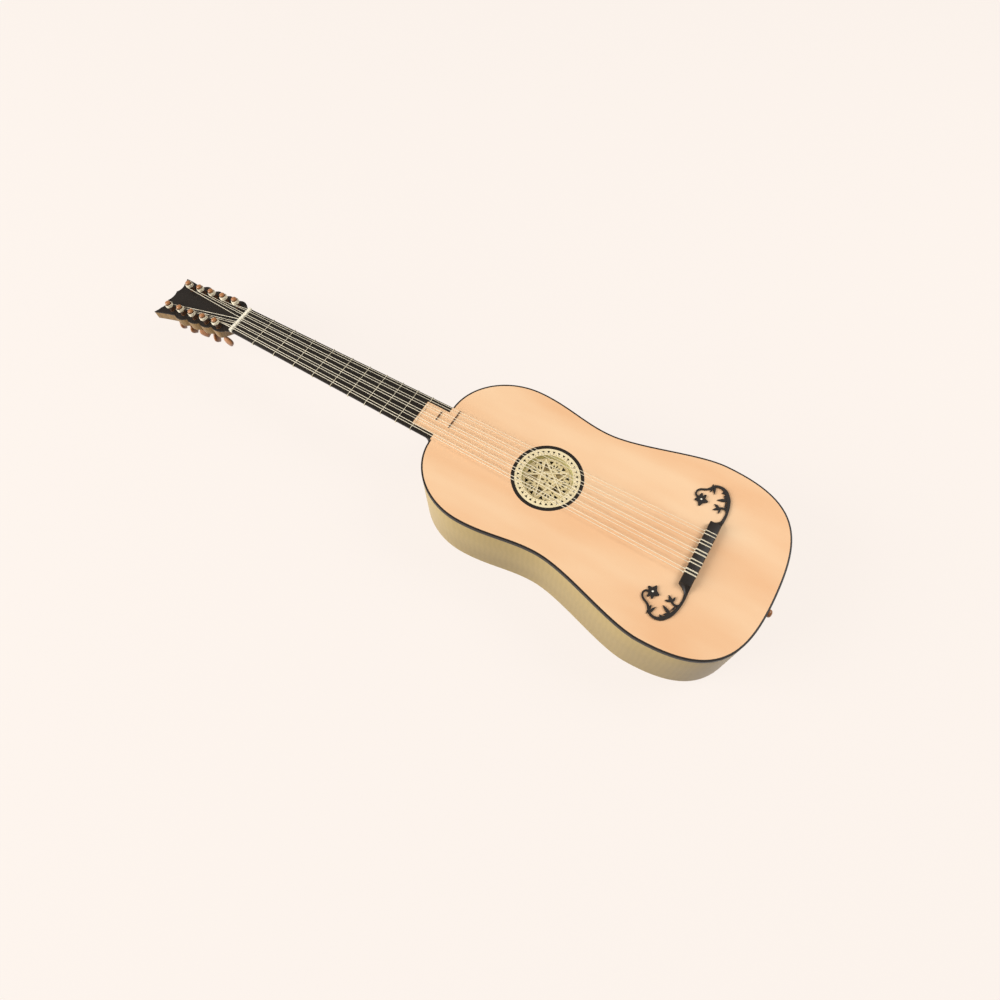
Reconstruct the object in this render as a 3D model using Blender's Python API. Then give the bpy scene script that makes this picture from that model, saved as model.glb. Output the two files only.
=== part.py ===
"""Five-course baroque guitar: flat back, pierced rose, tied frets and ten pegs behind the head.

The guitar lies on its back. +Z points out of the soundboard, +Y runs along the neck towards
the head and +X to the treble side. The origin is the bottom centre of the whole guitar. All
lengths are metres and all angles are degrees.
"""

import math

import bmesh
import bpy
from mathutils import Matrix, Vector

# Gaps between pieces that touch, and running clearances
SEAM = 0.0003
PEG_CLEARANCE = 0.0004
FRET_CLEARANCE = 0.0004
STRING_CLEARANCE = 0.0003

# Strings
STRING_LENGTH = 0.660
SEMITONES = 12
COURSES = 5
COURSE_SPACING_NUT = 0.0082
COURSE_SPACING_BRIDGE = 0.0134
PAIR_SPACING_NUT = 0.0028
PAIR_SPACING_BRIDGE = 0.0044
COURSE_DIAMETERS = (0.00055, 0.00065, 0.0008, 0.0007, 0.00085)
STRING_HEIGHT_BRIDGE = 0.0050
STRING_TAIL_DROP = 0.0045
WINDING_TURNS = 2
WINDING_PITCH = 0.0014
WINDING_START = 0.0062
POINTS_PER_TURN = 24

# Body outline: distances along the body are measured from the string edge of the bridge.
# The neck meets the body JOIN_FRET semitones up from the nut
BODY_DEPTH = 0.097
JOIN_FRET = 11.4324
TAIL_TO_BRIDGE = 0.100
UPPER_BOUT_HALF = 0.1028
UPPER_BOUT_AT = 0.254
WAIST_HALF = 0.0919
WAIST_AT = 0.156
LOWER_BOUT_HALF = 0.1235
LOWER_BOUT_AT = 0.011
SHOULDER_HANDLE = 0.042
UPPER_HANDLE_ABOVE = 0.048
UPPER_HANDLE_BELOW = 0.039
WAIST_HANDLE_ABOVE = 0.0335
WAIST_HANDLE_BELOW = 0.042
LOWER_HANDLE_ABOVE = 0.039
LOWER_HANDLE_BELOW = 0.0935
TAIL_HANDLE = 0.081
OUTLINE_STEPS = 10

# Body shell
SOUNDBOARD_THICKNESS = 0.0025
BACK_THICKNESS = 0.0025
RIB_THICKNESS = 0.0022
BINDING_WIDTH = 0.0022
BINDING_HEIGHT = 0.0060
LINING_WIDTH = 0.0060
LINING_HEIGHT = 0.0100
BLOCK_HALF = 0.032
NECK_BLOCK_LENGTH = 0.038
TAIL_BLOCK_LENGTH = 0.018
BAR_WIDTH = 0.0070
BAR_HEIGHT = 0.0140
BAR_END_HEIGHT = 0.0060
BAR_END_SLOPE = 0.030
BACK_BAR_HEIGHT = 0.0110
SOUNDBOARD_BARS = {"upper": 0.250, "lower": 0.131}
BACK_BARS = {"upper": 0.225, "lower": 0.040}

# Soundhole, ring and rose
ROSE_AT = 0.1905
RING_OUTER = 0.0442
RING_INNER = 0.0401
RING_THICKNESS = 0.0012
LEDGE_DEPTH = 0.0016
SOUNDHOLE_RADIUS = 0.0375
ROSE_THICKNESS = 0.0010
RIM_HOLES = 30
RIM_HOLE_AT = 0.0355
RIM_HOLE_SIZE = 0.0013
STAR_POINTS = 5
STAR_TURN = 34.0
STAR_REACH = 0.0262
STAR_CELL_HALF = 0.0043
STAR_CELL_INNER = 0.0125
GAP_HOLE_AT = 0.0250
GAP_HOLE_SIZE = 0.0030
GAP_HOLE_SPREAD = 20.0
HUB_HOLE_RADIUS = 0.0060
WELL_RIM_RADIUS = 0.0310
WELL_FLOOR_RADIUS = 0.0240
WELL_DEPTH = 0.0090
WELL_WALL = 0.0010
WELL_HOLES = 10
WELL_HOLE_AT = 0.0160
WELL_HOLE_SIZE = 0.0034
CIRCLE_STEPS = 40

# Neck, fingerboard and nut
NECK_HALF_JOIN = 0.0266
NECK_HALF_NUT = 0.0216
FINGERBOARD_THICKNESS = SOUNDBOARD_THICKNESS
NECK_INSET = 0.0010
NECK_DEPTH_NUT = 0.0150
NECK_DEPTH_JOIN = 0.0170
HEEL_LENGTH = 0.0150
HEEL_CURVE_SHARE = 0.66
HEEL_CLEARANCE = 0.0030
HEEL_PINCH_SHARE = 0.50
NECK_ROUNDNESS = 1.7
HEEL_STEPS = 6
NECK_SIDES = 12
TONGUE_LENGTH = 0.032
TONGUE_HALF = 0.0184
NUT_THICKNESS = 0.0040
NUT_RISE = 0.0020

# Frets
TIED_FRETS = 10
FRET_RADIUS = 0.00045
KNOT_SWELL = 2.1
KNOT_OFFSET = 0.0006
SHORT_FRETS = {11: (0.0000, 0.0142), 12: (-0.0015, 0.0265)}
SHORT_FRET_WIDTH = 0.0015
SHORT_FRET_HEIGHT = 0.0008

# Head
HEAD_TILT = 12.0
HEAD_DROP = 0.0025
HEAD_LENGTH = 0.1420
HEAD_THICKNESS_NECK = 0.0125
HEAD_THICKNESS_TIP = 0.0105
VENEER_THICKNESS = 0.0015
HEAD_START = 0.0060
LOBE_START = 0.0080
LOBE_DEPTH_TREBLE = 0.0066
LOBE_DEPTH_BASS = 0.0042
LOBE_ROUNDNESS = 0.7
LOBE_STEPS = 4
NOTCH_HALF_NECK = 0.0228
NOTCH_HALF_TIP = 0.0280
HORN_HALF = 0.0346
HORN_BEND_TREBLE = (0.0338, 0.1230)
HORN_BEND_BASS = (0.0305, 0.1220)
CREST_VALLEY = (0.0240, 0.0045)
CREST_NOTCH = (0.0090, 0.0030)
CREST_RISE = 0.0028
ROOT_LENGTH = 0.020
ROOT_TAPER_SHARE = 0.5

# Pegs
PEGS_PER_ROW = 5
FIRST_PEG_AT = 0.0228
PEG_SPACING = 0.0235
PEG_ROW_HALF_NECK = 0.0205
PEG_ROW_HALF_TIP = 0.0210
PEG_TIP_HEIGHT = 0.0145
PEG_TIP_LENGTH = 0.0028
PEG_TIP_RADIUS = 0.0036
PEG_WINDING_RADIUS = 0.0034
PEG_WINDING_BASE = 0.0025
PEG_FRONT_RADIUS = 0.0036
PEG_BACK_RADIUS = 0.0041
PEG_COLLAR_GAP = 0.0005
PEG_COLLAR_RADIUS = 0.0054
PEG_COLLAR_LENGTH = 0.0018
PEG_NECK_RADIUS = 0.0028
PEG_NECK_LENGTH = 0.0040
KNOB_LENGTH = 0.0180
KNOB_HALF_WIDTH = 0.0082
KNOB_HALF_THICKNESS = 0.0036
KNOB_STEPS = 6
KNOB_ROUNDING_SHARES = (0.12, 0.92)
TIP_ROUNDING_SHARE = 0.25
TIP_END = 0.6
NECK_FLARE_SHARE = 0.2
PEG_SIDES = 10
HOLE_SIDES = 10
KNOB_TURNS = {"treble": (25, 70, -20, 50, 5), "bass": (90, 30, 120, 20, 38)}

# Bridge and moustaches
BRIDGE_HALF_LENGTH = 0.0427
BRIDGE_WIDTH = 0.0140
BRIDGE_HEIGHT = 0.0080
BRIDGE_CHAMFER = 0.0010
BRIDGE_REAR_HEIGHT = 0.0055
MOUSTACHE_THICKNESS = 0.0016
LAYER_STEP = 0.00004
PETALS = ((20, 0.0084), (70, 0.0064), (117, 0.0078), (187, 0.0086), (273, 0.0082), (340, 0.0084))
PETAL_NOTCH = 0.0050
PETAL_SHOULDER_SHARE = 0.93
PETAL_SHOULDER_TURN = 9

# End button
BUTTON_HEIGHT = 0.045
BUTTON_SHANK_RADIUS = 0.0030
BUTTON_RADIUS = 0.0052
BUTTON_REACH = 0.0118
BUTTON_HEAD_SHARES = ((0.55, 1.0), (0.90, 0.89), (1.0, 0.71), (0.85, 0.52), (0.62, 0.26), (0.85, 0.15))
BUTTON_BLIND_SHARE = 0.7

# Values that follow from the sizes above
TOP = BODY_DEPTH
NECK_TO_BRIDGE = STRING_LENGTH * 2 ** (-JOIN_FRET / SEMITONES)
TONGUE_REACH = NECK_TO_BRIDGE + TONGUE_LENGTH
HEAD_JOINT = STRING_LENGTH + NUT_THICKNESS + SEAM
HEAD_REACH = HEAD_JOINT + HEAD_LENGTH * math.cos(math.radians(HEAD_TILT))
BRIDGE_AT = (TAIL_TO_BRIDGE + BUTTON_REACH - HEAD_REACH) / 2
NECK_TOP = TOP - FINGERBOARD_THICKNESS - SEAM
SMOOTH_ANGLE = 35.0


def along(distance):
    """World Y of a place that lies this far from the string edge of the bridge, towards the head."""
    return BRIDGE_AT + distance


def clear_scene():
    for old in list(bpy.data.objects):
        bpy.data.objects.remove(old, do_unlink=True)


# Materials


def wood(name, colour, roughness):
    """A Principled material for a wood, bone, gut or parchment surface."""
    material = bpy.data.materials.new(name)
    material.use_nodes = True
    shader = material.node_tree.nodes["Principled BSDF"]
    shader.inputs["Base Color"].default_value = (*colour, 1.0)
    shader.inputs["Roughness"].default_value = roughness
    shader.inputs["Metallic"].default_value = 0.0
    return material


def make_materials():
    return {
        "spruce": wood("spruce", (0.93, 0.64, 0.36), 0.45),
        "maple": wood("maple", (0.58, 0.48, 0.29), 0.35),
        "ebony": wood("ebony", (0.018, 0.016, 0.014), 0.40),
        "walnut": wood("walnut", (0.30, 0.19, 0.09), 0.45),
        "lime": wood("lime", (0.75, 0.60, 0.42), 0.60),
        "plum": wood("plum", (0.36, 0.13, 0.05), 0.35),
        "bone": wood("bone", (0.90, 0.87, 0.78), 0.35),
        "parchment": wood("parchment", (0.86, 0.80, 0.60), 0.60),
        "gut": wood("gut", (0.88, 0.84, 0.74), 0.30),
    }


# Objects and mesh tools


def add_object(name, bm, material, parent=None):
    """Turns a bmesh into a named object, shaded smooth where its faces meet gently."""
    mesh = bpy.data.meshes.new(name)
    bm.to_mesh(mesh)
    bm.free()
    mesh.materials.append(material)
    mesh.shade_smooth()
    mesh.set_sharp_from_angle(angle=math.radians(SMOOTH_ANGLE))
    item = bpy.data.objects.new(name, mesh)
    item.parent = parent
    bpy.context.scene.collection.objects.link(item)
    return item


def add_helper(name, bm, material, parent=None):
    """A shape that only cuts or joins other objects."""
    item = add_object(name, bm, material, parent)
    item.hide_render = True
    item.display_type = "WIRE"
    return item


def combine(target, other, operation):
    """Cuts or joins one object with another. The result is shaded flat, as most of its faces are."""
    target.data.shade_flat()
    modifier = target.modifiers.new(other.name, "BOOLEAN")
    modifier.operation = operation
    modifier.object = other


def prism(outline, low, high):
    """A bmesh of a flat outline, extruded from one height to another."""
    bm = bmesh.new()
    add_prism(bm, outline, low, high)
    return bm


def add_prism(bm, outline, low, high):
    corners = [bm.verts.new((point[0], point[1], low)) for point in outline]
    base = bm.faces.new(corners)
    result = bmesh.ops.extrude_face_region(bm, geom=[base])
    raised = [item for item in result["geom"] if isinstance(item, bmesh.types.BMVert)]
    bmesh.ops.translate(bm, vec=(0, 0, high - low), verts=raised)
    bmesh.ops.recalc_face_normals(bm, faces=bm.faces)


def loft(rings):
    """A bmesh skinned through closed rings that all have the same number of points."""
    bm = bmesh.new()
    add_loft(bm, rings)
    return bm


def add_loft(bm, rings):
    loops = [[bm.verts.new(point) for point in ring] for ring in rings]
    for first, second in zip(loops, loops[1:]):
        for index in range(len(first)):
            bm.faces.new((first[index - 1], first[index], second[index], second[index - 1]))
    bm.faces.new(loops[0])
    bm.faces.new(list(reversed(loops[-1])))
    bmesh.ops.recalc_face_normals(bm, faces=bm.faces)


def turned(profile, steps):
    """A bmesh of a profile of (radius, height) pairs, turned round the Z axis."""
    return loft([circle(radius, steps, height) for radius, height in profile])


def circle(radius, steps, height=0.0, centre=(0.0, 0.0)):
    angles = [math.tau * step / steps for step in range(steps)]
    return [
        Vector((centre[0] + radius * math.cos(a), centre[1] + radius * math.sin(a), height))
        for a in angles
    ]


def polar(radius, degrees):
    angle = math.radians(degrees)
    return Vector((radius * math.cos(angle), radius * math.sin(angle)))


def mirrored(points):
    """The same outline on the bass side, wound the same way round."""
    return [Vector((-point[0], point[1])) for point in reversed(points)]


def between(first, second, fraction):
    return first + (second - first) * fraction


def bezier_point(piece, t):
    start, start_handle, end_handle, end = piece
    s = 1 - t
    return start * s**3 + start_handle * (3 * s * s * t) + end_handle * (3 * s * t * t) + end * t**3


def bezier_slope(piece, t):
    start, start_handle, end_handle, end = piece
    s = 1 - t
    first = (start_handle - start) * (3 * s * s)
    middle = (end_handle - start_handle) * (6 * s * t)
    return first + middle + (end - end_handle) * (3 * t * t)


# Body outline


def side_pieces():
    """The treble half of the body outline as four curves, from the neck to the tail."""
    neck = Vector((NECK_HALF_JOIN, along(NECK_TO_BRIDGE)))
    upper = Vector((UPPER_BOUT_HALF, along(UPPER_BOUT_AT)))
    waist = Vector((WAIST_HALF, along(WAIST_AT)))
    lower = Vector((LOWER_BOUT_HALF, along(LOWER_BOUT_AT)))
    tail = Vector((0.0, along(-TAIL_TO_BRIDGE)))
    out, up = Vector((1.0, 0.0)), Vector((0.0, 1.0))
    return (
        (neck, neck + out * SHOULDER_HANDLE, upper + up * UPPER_HANDLE_ABOVE, upper),
        (upper, upper - up * UPPER_HANDLE_BELOW, waist + up * WAIST_HANDLE_ABOVE, waist),
        (waist, waist - up * WAIST_HANDLE_BELOW, lower + up * LOWER_HANDLE_ABOVE, lower),
        (lower, lower - up * LOWER_HANDLE_BELOW, tail + out * TAIL_HANDLE, tail),
    )


def trimmed(line, x):
    """The line from where it first passes this X on its way outwards."""
    for index, (first, second) in enumerate(zip(line, line[1:])):
        if first.x <= x < second.x:
            return [between(first, second, (x - first.x) / (second.x - first.x))] + line[index + 1:]
    return line


def side_line(inset, neck_x=0.0, tail_x=0.0):
    """Points of the treble outline moved inwards, without the ends nearer the middle than these X."""
    line = []
    for piece in side_pieces():
        for step in range(1 if line else 0, OUTLINE_STEPS + 1):
            t = step / OUTLINE_STEPS
            slope = bezier_slope(piece, t).normalized()
            outward = Vector((-slope.y, slope.x))
            line.append(bezier_point(piece, t) - outward * inset)
    return trimmed(trimmed(line, neck_x)[::-1], tail_x)[::-1]


def side_strip(outer, inner, neck_x, tail_x):
    """The flat outline of a strip that follows the treble side between two insets."""
    return side_line(outer, neck_x, tail_x) + side_line(inner, neck_x, tail_x)[::-1]


def half_width_at(distance, inset):
    """Half the width of the body, less an inset, at a distance from the bridge."""
    line = side_line(inset)
    y = along(distance)
    for first, second in zip(line, line[1:]):
        if min(first.y, second.y) <= y <= max(first.y, second.y):
            return between(first.x, second.x, (y - first.y) / (second.y - first.y))
    return line[0].x


def add_pair(name, outline, low, high, material):
    """The treble piece with this outline and its mirror image on the bass side."""
    treble = add_object(f"{name}_treble", prism(outline, low, high), material)
    bass = add_object(f"{name}_bass", prism(mirrored(outline), low, high), material)
    return treble, bass


def add_back(materials):
    line = side_line(0.0)
    return add_object("back", prism(line + mirrored(line)[1:], 0.0, BACK_THICKNESS), materials["maple"])


def add_ribs(materials):
    strip = side_strip(0.0, RIB_THICKNESS, NECK_HALF_JOIN + SEAM, SEAM / 2)
    low = BACK_THICKNESS + SEAM
    return add_pair("rib", strip, low, TOP - BINDING_HEIGHT - SEAM, materials["maple"])


def add_binding(materials):
    strip = side_strip(0.0, BINDING_WIDTH, NECK_HALF_JOIN + SEAM, SEAM / 2)
    add_pair("binding", strip, TOP - BINDING_HEIGHT, TOP, materials["ebony"])


def lining_inset():
    return max(RIB_THICKNESS, BINDING_WIDTH) + SEAM


def add_linings(materials):
    outer = lining_inset()
    clear = BLOCK_HALF + SEAM
    strip = side_strip(outer, outer + LINING_WIDTH, clear, clear)
    top = TOP - SOUNDBOARD_THICKNESS - SEAM
    low = BACK_THICKNESS + SEAM
    add_pair("lining_top", strip, top - LINING_HEIGHT, top, materials["lime"])
    add_pair("lining_back", strip, low, low + LINING_HEIGHT, materials["lime"])


def add_blocks(materials):
    """The neck block fills the space between the ribs' ends, and the tail block backs their joint."""
    low = BACK_THICKNESS + SEAM
    high = TOP - SOUNDBOARD_THICKNESS - SEAM
    face = along(NECK_TO_BRIDGE)
    line = side_line(lining_inset())
    half = [
        Vector((NECK_HALF_JOIN, face)),
        Vector((NECK_HALF_JOIN, line[0].y)),
        trimmed(line, BLOCK_HALF)[0],
        Vector((BLOCK_HALF, face - NECK_BLOCK_LENGTH)),
    ]
    add_object("neck_block", prism(half + mirrored(half), low, high), materials["lime"])
    end = line[::-1]
    curved = end[:len(end) - len(trimmed(end, BLOCK_HALF)) + 1]
    half = curved + [trimmed(end, BLOCK_HALF)[0]]
    half.append(Vector((BLOCK_HALF, line[-1].y + TAIL_BLOCK_LENGTH)))
    outline = half[::-1] + mirrored(half)[::-1][1:]
    return add_object("tail_block", prism(outline, low, high), materials["lime"])


def bar_section(half, low, high, end_height):
    """A bar's outline seen along the neck: full height in the middle, lower towards its ends."""
    slope = min(BAR_END_SLOPE, half / 2)
    return [
        Vector((-half, low)),
        Vector((half, low)),
        Vector((half, between(low, high, end_height))),
        Vector((half - slope, high)),
        Vector((-half + slope, high)),
        Vector((-half, between(low, high, end_height))),
    ]


def add_bar(name, distance, low, high, material):
    """A cross bar that ends just short of the linings, glued on at its low side."""
    inset = lining_inset() + LINING_WIDTH + SEAM
    half = min(half_width_at(distance + side * BAR_WIDTH / 2, inset) for side in (-1, 1))
    share = BAR_END_HEIGHT / abs(high - low)
    section = bar_section(half, low, high, share)
    rings = [
        [Vector((point.x, along(distance) + side * BAR_WIDTH / 2, point.y)) for point in section]
        for side in (-1, 1)
    ]
    add_object(name, loft(rings), material)


def add_bars(materials):
    under = TOP - SOUNDBOARD_THICKNESS - SEAM
    for place, distance in SOUNDBOARD_BARS.items():
        add_bar(f"soundboard_bar_{place}", distance, under, under - BAR_HEIGHT, materials["spruce"])
    floor = BACK_THICKNESS + SEAM
    for place, distance in BACK_BARS.items():
        add_bar(f"back_bar_{place}", distance, floor, floor + BACK_BAR_HEIGHT, materials["spruce"])


# Soundboard, ring and rose


def soundboard_outline():
    line = side_line(BINDING_WIDTH + SEAM, NECK_HALF_JOIN + SEAM)
    face = along(NECK_TO_BRIDGE) - SEAM
    end = along(TONGUE_REACH)
    neck = [
        Vector((TONGUE_HALF, end)),
        Vector((TONGUE_HALF, face)),
        Vector((NECK_HALF_JOIN, face)),
        Vector((NECK_HALF_JOIN, line[0].y)),
    ]
    return neck + line[1:]


def add_soundboard(materials):
    """The plate, with its tongue over the neck, its soundhole and the ledge that holds the ring."""
    half = soundboard_outline()
    outline = half + mirrored(half)[1:]
    plate = prism(outline, TOP - SOUNDBOARD_THICKNESS, TOP)
    soundboard = add_object("soundboard", plate, materials["spruce"])
    ledge = TOP - LEDGE_DEPTH
    above = TOP + SOUNDBOARD_THICKNESS
    below = TOP - 2 * SOUNDBOARD_THICKNESS
    profile = (
        (RING_OUTER + SEAM, above),
        (RING_OUTER + SEAM, ledge),
        (SOUNDHOLE_RADIUS, ledge),
        (SOUNDHOLE_RADIUS, below),
    )
    cutter = add_helper("soundhole_cutter", turned(profile, CIRCLE_STEPS), materials["spruce"])
    cutter.location = (0.0, along(ROSE_AT), 0.0)
    combine(soundboard, cutter, "DIFFERENCE")


def add_ring(materials):
    low, high = TOP - RING_THICKNESS, TOP
    loops = ((RING_OUTER, low), (RING_OUTER, high), (RING_INNER, high), (RING_INNER, low))
    bm = bmesh.new()
    rings = [
        [bm.verts.new(point) for point in circle(radius, CIRCLE_STEPS, height)]
        for radius, height in loops
    ]
    for first, second in zip(rings, rings[1:] + rings[:1]):
        for index in range(CIRCLE_STEPS):
            bm.faces.new((first[index - 1], first[index], second[index], second[index - 1]))
    bmesh.ops.recalc_face_normals(bm, faces=bm.faces)
    ring = add_object("soundhole_ring", bm, materials["ebony"])
    ring.location = (0.0, along(ROSE_AT), 0.0)


def triangle(centre, size, degrees):
    return [centre + polar(size, degrees + 120 * corner) for corner in range(3)]


def add_rose(materials):
    """The parchment rose: a rim of small triangles round a five-pointed star, over a sunk tier."""
    high = TOP
    low = TOP - ROSE_THICKNESS
    disc = prism(circle(RING_INNER - SEAM, CIRCLE_STEPS), low, high)
    lattice = add_object("rose_lattice", disc, materials["parchment"])
    lattice.location = (0.0, along(ROSE_AT), 0.0)
    bm = bmesh.new()
    reach = ROSE_THICKNESS
    for hole in lattice_holes():
        add_prism(bm, hole, low - reach, high + reach)
    cutter = add_helper("rose_cutter", bm, materials["parchment"])
    cutter.location = lattice.location
    combine(lattice, cutter, "DIFFERENCE")
    add_well(materials, low - SEAM)


def lattice_holes():
    corners = [STAR_TURN + 180 * (2 * index + 1) / STAR_POINTS for index in range(STAR_POINTS)]
    holes = [[polar(HUB_HOLE_RADIUS, degrees) for degrees in corners]]
    for index in range(RIM_HOLES):
        degrees = 360 * index / RIM_HOLES
        holes.append(triangle(polar(RIM_HOLE_AT, degrees), RIM_HOLE_SIZE, degrees))
    for index in range(STAR_POINTS):
        degrees = STAR_TURN + 360 * index / STAR_POINTS
        side = polar(STAR_CELL_HALF, degrees + 90)
        root = polar(STAR_CELL_INNER, degrees)
        holes.append([polar(STAR_REACH, degrees), root + side, root - side])
        opposite = degrees + 180 / STAR_POINTS
        for turn in (-GAP_HOLE_SPREAD, GAP_HOLE_SPREAD):
            holes.append(triangle(polar(GAP_HOLE_AT, opposite + turn), GAP_HOLE_SIZE, opposite))
    return holes


def add_well(materials, top):
    """The sunk tier: a shallow cup of parchment with its own pierced floor."""
    floor = top - WELL_DEPTH
    profile = (
        (WELL_RIM_RADIUS - WELL_WALL, top),
        (WELL_RIM_RADIUS, top),
        (WELL_FLOOR_RADIUS, floor),
        (0.0, floor),
        (0.0, floor + WELL_WALL),
        (WELL_FLOOR_RADIUS - WELL_WALL, floor + WELL_WALL),
    )
    bm = bmesh.new()
    verts = [bm.verts.new((radius, 0.0, height)) for radius, height in profile]
    edges = [bm.edges.new(pair) for pair in zip(verts, verts[1:] + verts[:1])]
    edges = [edge for edge in edges if any(vert.co.x > 0 for vert in edge.verts)]
    bmesh.ops.spin(
        bm,
        geom=edges,
        cent=(0, 0, 0),
        axis=(0, 0, 1),
        angle=math.tau,
        steps=CIRCLE_STEPS // 2,
        use_merge=True,
        use_duplicate=False,
    )
    bmesh.ops.remove_doubles(bm, verts=bm.verts, dist=LAYER_STEP)
    loose = [edge for edge in bm.edges if not edge.link_faces]
    bmesh.ops.delete(bm, geom=loose, context="EDGES")
    bmesh.ops.recalc_face_normals(bm, faces=bm.faces)
    well = add_object("rose_well", bm, materials["parchment"])
    well.location = (0.0, along(ROSE_AT), 0.0)
    holes = bmesh.new()
    for index in range(WELL_HOLES):
        degrees = 360 * index / WELL_HOLES
        hole = triangle(polar(WELL_HOLE_AT, degrees), WELL_HOLE_SIZE, degrees + 180)
        add_prism(holes, hole, floor - WELL_WALL, floor + 2 * WELL_WALL)
    cutter = add_helper("well_cutter", holes, materials["parchment"])
    cutter.location = well.location
    combine(well, cutter, "DIFFERENCE")


# Neck, fingerboard and nut


def neck_half_width(distance):
    share = (distance - NECK_TO_BRIDGE) / (STRING_LENGTH - NECK_TO_BRIDGE)
    return between(NECK_HALF_JOIN, NECK_HALF_NUT, share)


def neck_depth(distance):
    share = (distance - NECK_TO_BRIDGE) / (STRING_LENGTH - NECK_TO_BRIDGE)
    return between(NECK_DEPTH_JOIN, NECK_DEPTH_NUT, share)


def heel_share(distance):
    """How far the heel has grown here, from 0 on the neck to 1 where it reaches the back."""
    travelled = (NECK_TO_BRIDGE + HEEL_LENGTH - distance) / (HEEL_LENGTH * HEEL_CURVE_SHARE)
    travelled = min(max(travelled, 0.0), 1.0)
    return 1 - math.sqrt(1 - travelled**2)


def neck_ring(distance, margin=0.0):
    """The rounded underside of the neck at a distance from the bridge, from treble to bass."""
    heel = heel_share(distance)
    half = neck_half_width(distance) - NECK_INSET + margin
    roundness = between(NECK_ROUNDNESS, 1.0, heel)
    full_depth = NECK_TOP - HEEL_CLEARANCE
    depth = between(neck_depth(distance), full_depth, heel) + margin
    ring = []
    for step in range(NECK_SIDES + 1):
        angle = math.pi * step / NECK_SIDES
        pinch = 1 - HEEL_PINCH_SHARE * heel * math.sin(angle) ** 2
        x = half * math.cos(angle) * pinch
        z = NECK_TOP - depth * math.sin(angle) ** roundness
        ring.append(Vector((x, along(distance), z)))
    return ring


def neck_stations():
    """Distances of the neck's cross sections, close together along the heel."""
    face = NECK_TO_BRIDGE + SEAM
    heel_end = NECK_TO_BRIDGE + HEEL_LENGTH
    curved = HEEL_LENGTH * HEEL_CURVE_SHARE
    turns = [math.pi / 2 * step / HEEL_STEPS for step in range(HEEL_STEPS + 1)]
    quarter = [heel_end - curved * math.sin(turn) for turn in turns]
    return [face] + quarter[::-1] + [STRING_LENGTH + NUT_THICKNESS]


def add_neck(materials):
    rings = [neck_ring(distance) for distance in neck_stations()]
    add_object("neck", loft(rings), materials["ebony"])


def add_fingerboard(materials):
    """The fingerboard, level with the soundboard, with a slot that takes the tongue."""
    start, end = NECK_TO_BRIDGE + SEAM, STRING_LENGTH - SEAM
    slot_half, slot_end = TONGUE_HALF + SEAM, along(TONGUE_REACH) + SEAM
    outline = [
        Vector((slot_half, slot_end)),
        Vector((slot_half, along(start))),
        Vector((neck_half_width(start), along(start))),
        Vector((neck_half_width(end), along(end))),
    ]
    board = prism(outline + mirrored(outline), TOP - FINGERBOARD_THICKNESS, TOP)
    add_object("fingerboard", board, materials["ebony"])


def add_nut(materials):
    near, far = along(STRING_LENGTH), along(STRING_LENGTH + NUT_THICKNESS)
    half = NECK_HALF_NUT
    outline = [(half, near), (half, far), (-half, far), (-half, near)]
    add_object("nut", prism(outline, NECK_TOP + SEAM, TOP + NUT_RISE), materials["bone"])


# Frets


def fret_distance(number):
    """Distance of a fret from the bridge, twelve equal semitones to the octave."""
    return STRING_LENGTH * 2 ** (-number / SEMITONES)


def tube(name, points, radius, material, swell=None, closed=False, sides_setting=1):
    """A round cord through points, with filled ends unless it is closed."""
    data = bpy.data.curves.new(name, "CURVE")
    data.dimensions = "3D"
    data.bevel_depth = radius
    data.bevel_resolution = sides_setting
    data.use_fill_caps = not closed
    spline = data.splines.new("POLY")
    spline.points.add(len(points) - 1)
    for index, point in enumerate(points):
        spline.points[index].co = (*point, 1.0)
        spline.points[index].radius = (swell or {}).get(index, 1.0)
    spline.use_cyclic_u = closed
    data.materials.append(material)
    item = bpy.data.objects.new(name, data)
    bpy.context.scene.collection.objects.link(item)
    return item


def add_tied_fret(number, frame, material):
    """A gut loop round the neck, a little proud of it, with its knot at the bass edge."""
    distance = fret_distance(number)
    margin = FRET_CLEARANCE + FRET_RADIUS
    under = neck_ring(distance, margin)[1:-1]
    y = along(distance)
    edge = neck_half_width(distance) + margin
    level = TOP + margin
    loop = under + [
        Vector((-edge, y, NECK_TOP - margin / 2)),
        Vector((-edge - KNOT_OFFSET, y, TOP - FINGERBOARD_THICKNESS / 2)),
        Vector((-edge, y, TOP)),
        Vector((-edge + margin / 2, y, level)),
        Vector((edge - margin / 2, y, level)),
        Vector((edge, y, TOP)),
        Vector((edge, y, NECK_TOP - margin / 2)),
    ]
    points = [point - Vector((0.0, y, 0.0)) for point in loop]
    item = tube(f"tied_fret_{number}", points, FRET_RADIUS, material, {len(under) + 1: KNOT_SWELL}, True, 0)
    item.parent = frame
    item.location = (0.0, distance, 0.0)


def add_frets(materials):
    frame = bpy.data.objects.new("fret_frame", None)
    frame.location = (0.0, along(0.0), 0.0)
    bpy.context.scene.collection.objects.link(frame)
    for number in range(1, TIED_FRETS + 1):
        add_tied_fret(number, frame, materials["gut"])
    for number, (left, right) in SHORT_FRETS.items():
        y = along(fret_distance(number))
        near, far = y - SHORT_FRET_WIDTH / 2, y + SHORT_FRET_WIDTH / 2
        outline = [(left, near), (right, near), (right, far), (left, far)]
        low = TOP + SEAM
        add_object(f"body_fret_{number}", prism(outline, low, low + SHORT_FRET_HEIGHT), materials["plum"])


# Head


def head_matrix():
    """The head's own frame: Y along the head, Z out of its front face."""
    place = Matrix.Translation((0.0, along(HEAD_JOINT), TOP - HEAD_DROP))
    return place @ Matrix.Rotation(math.radians(-HEAD_TILT), 4, "X")


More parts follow.
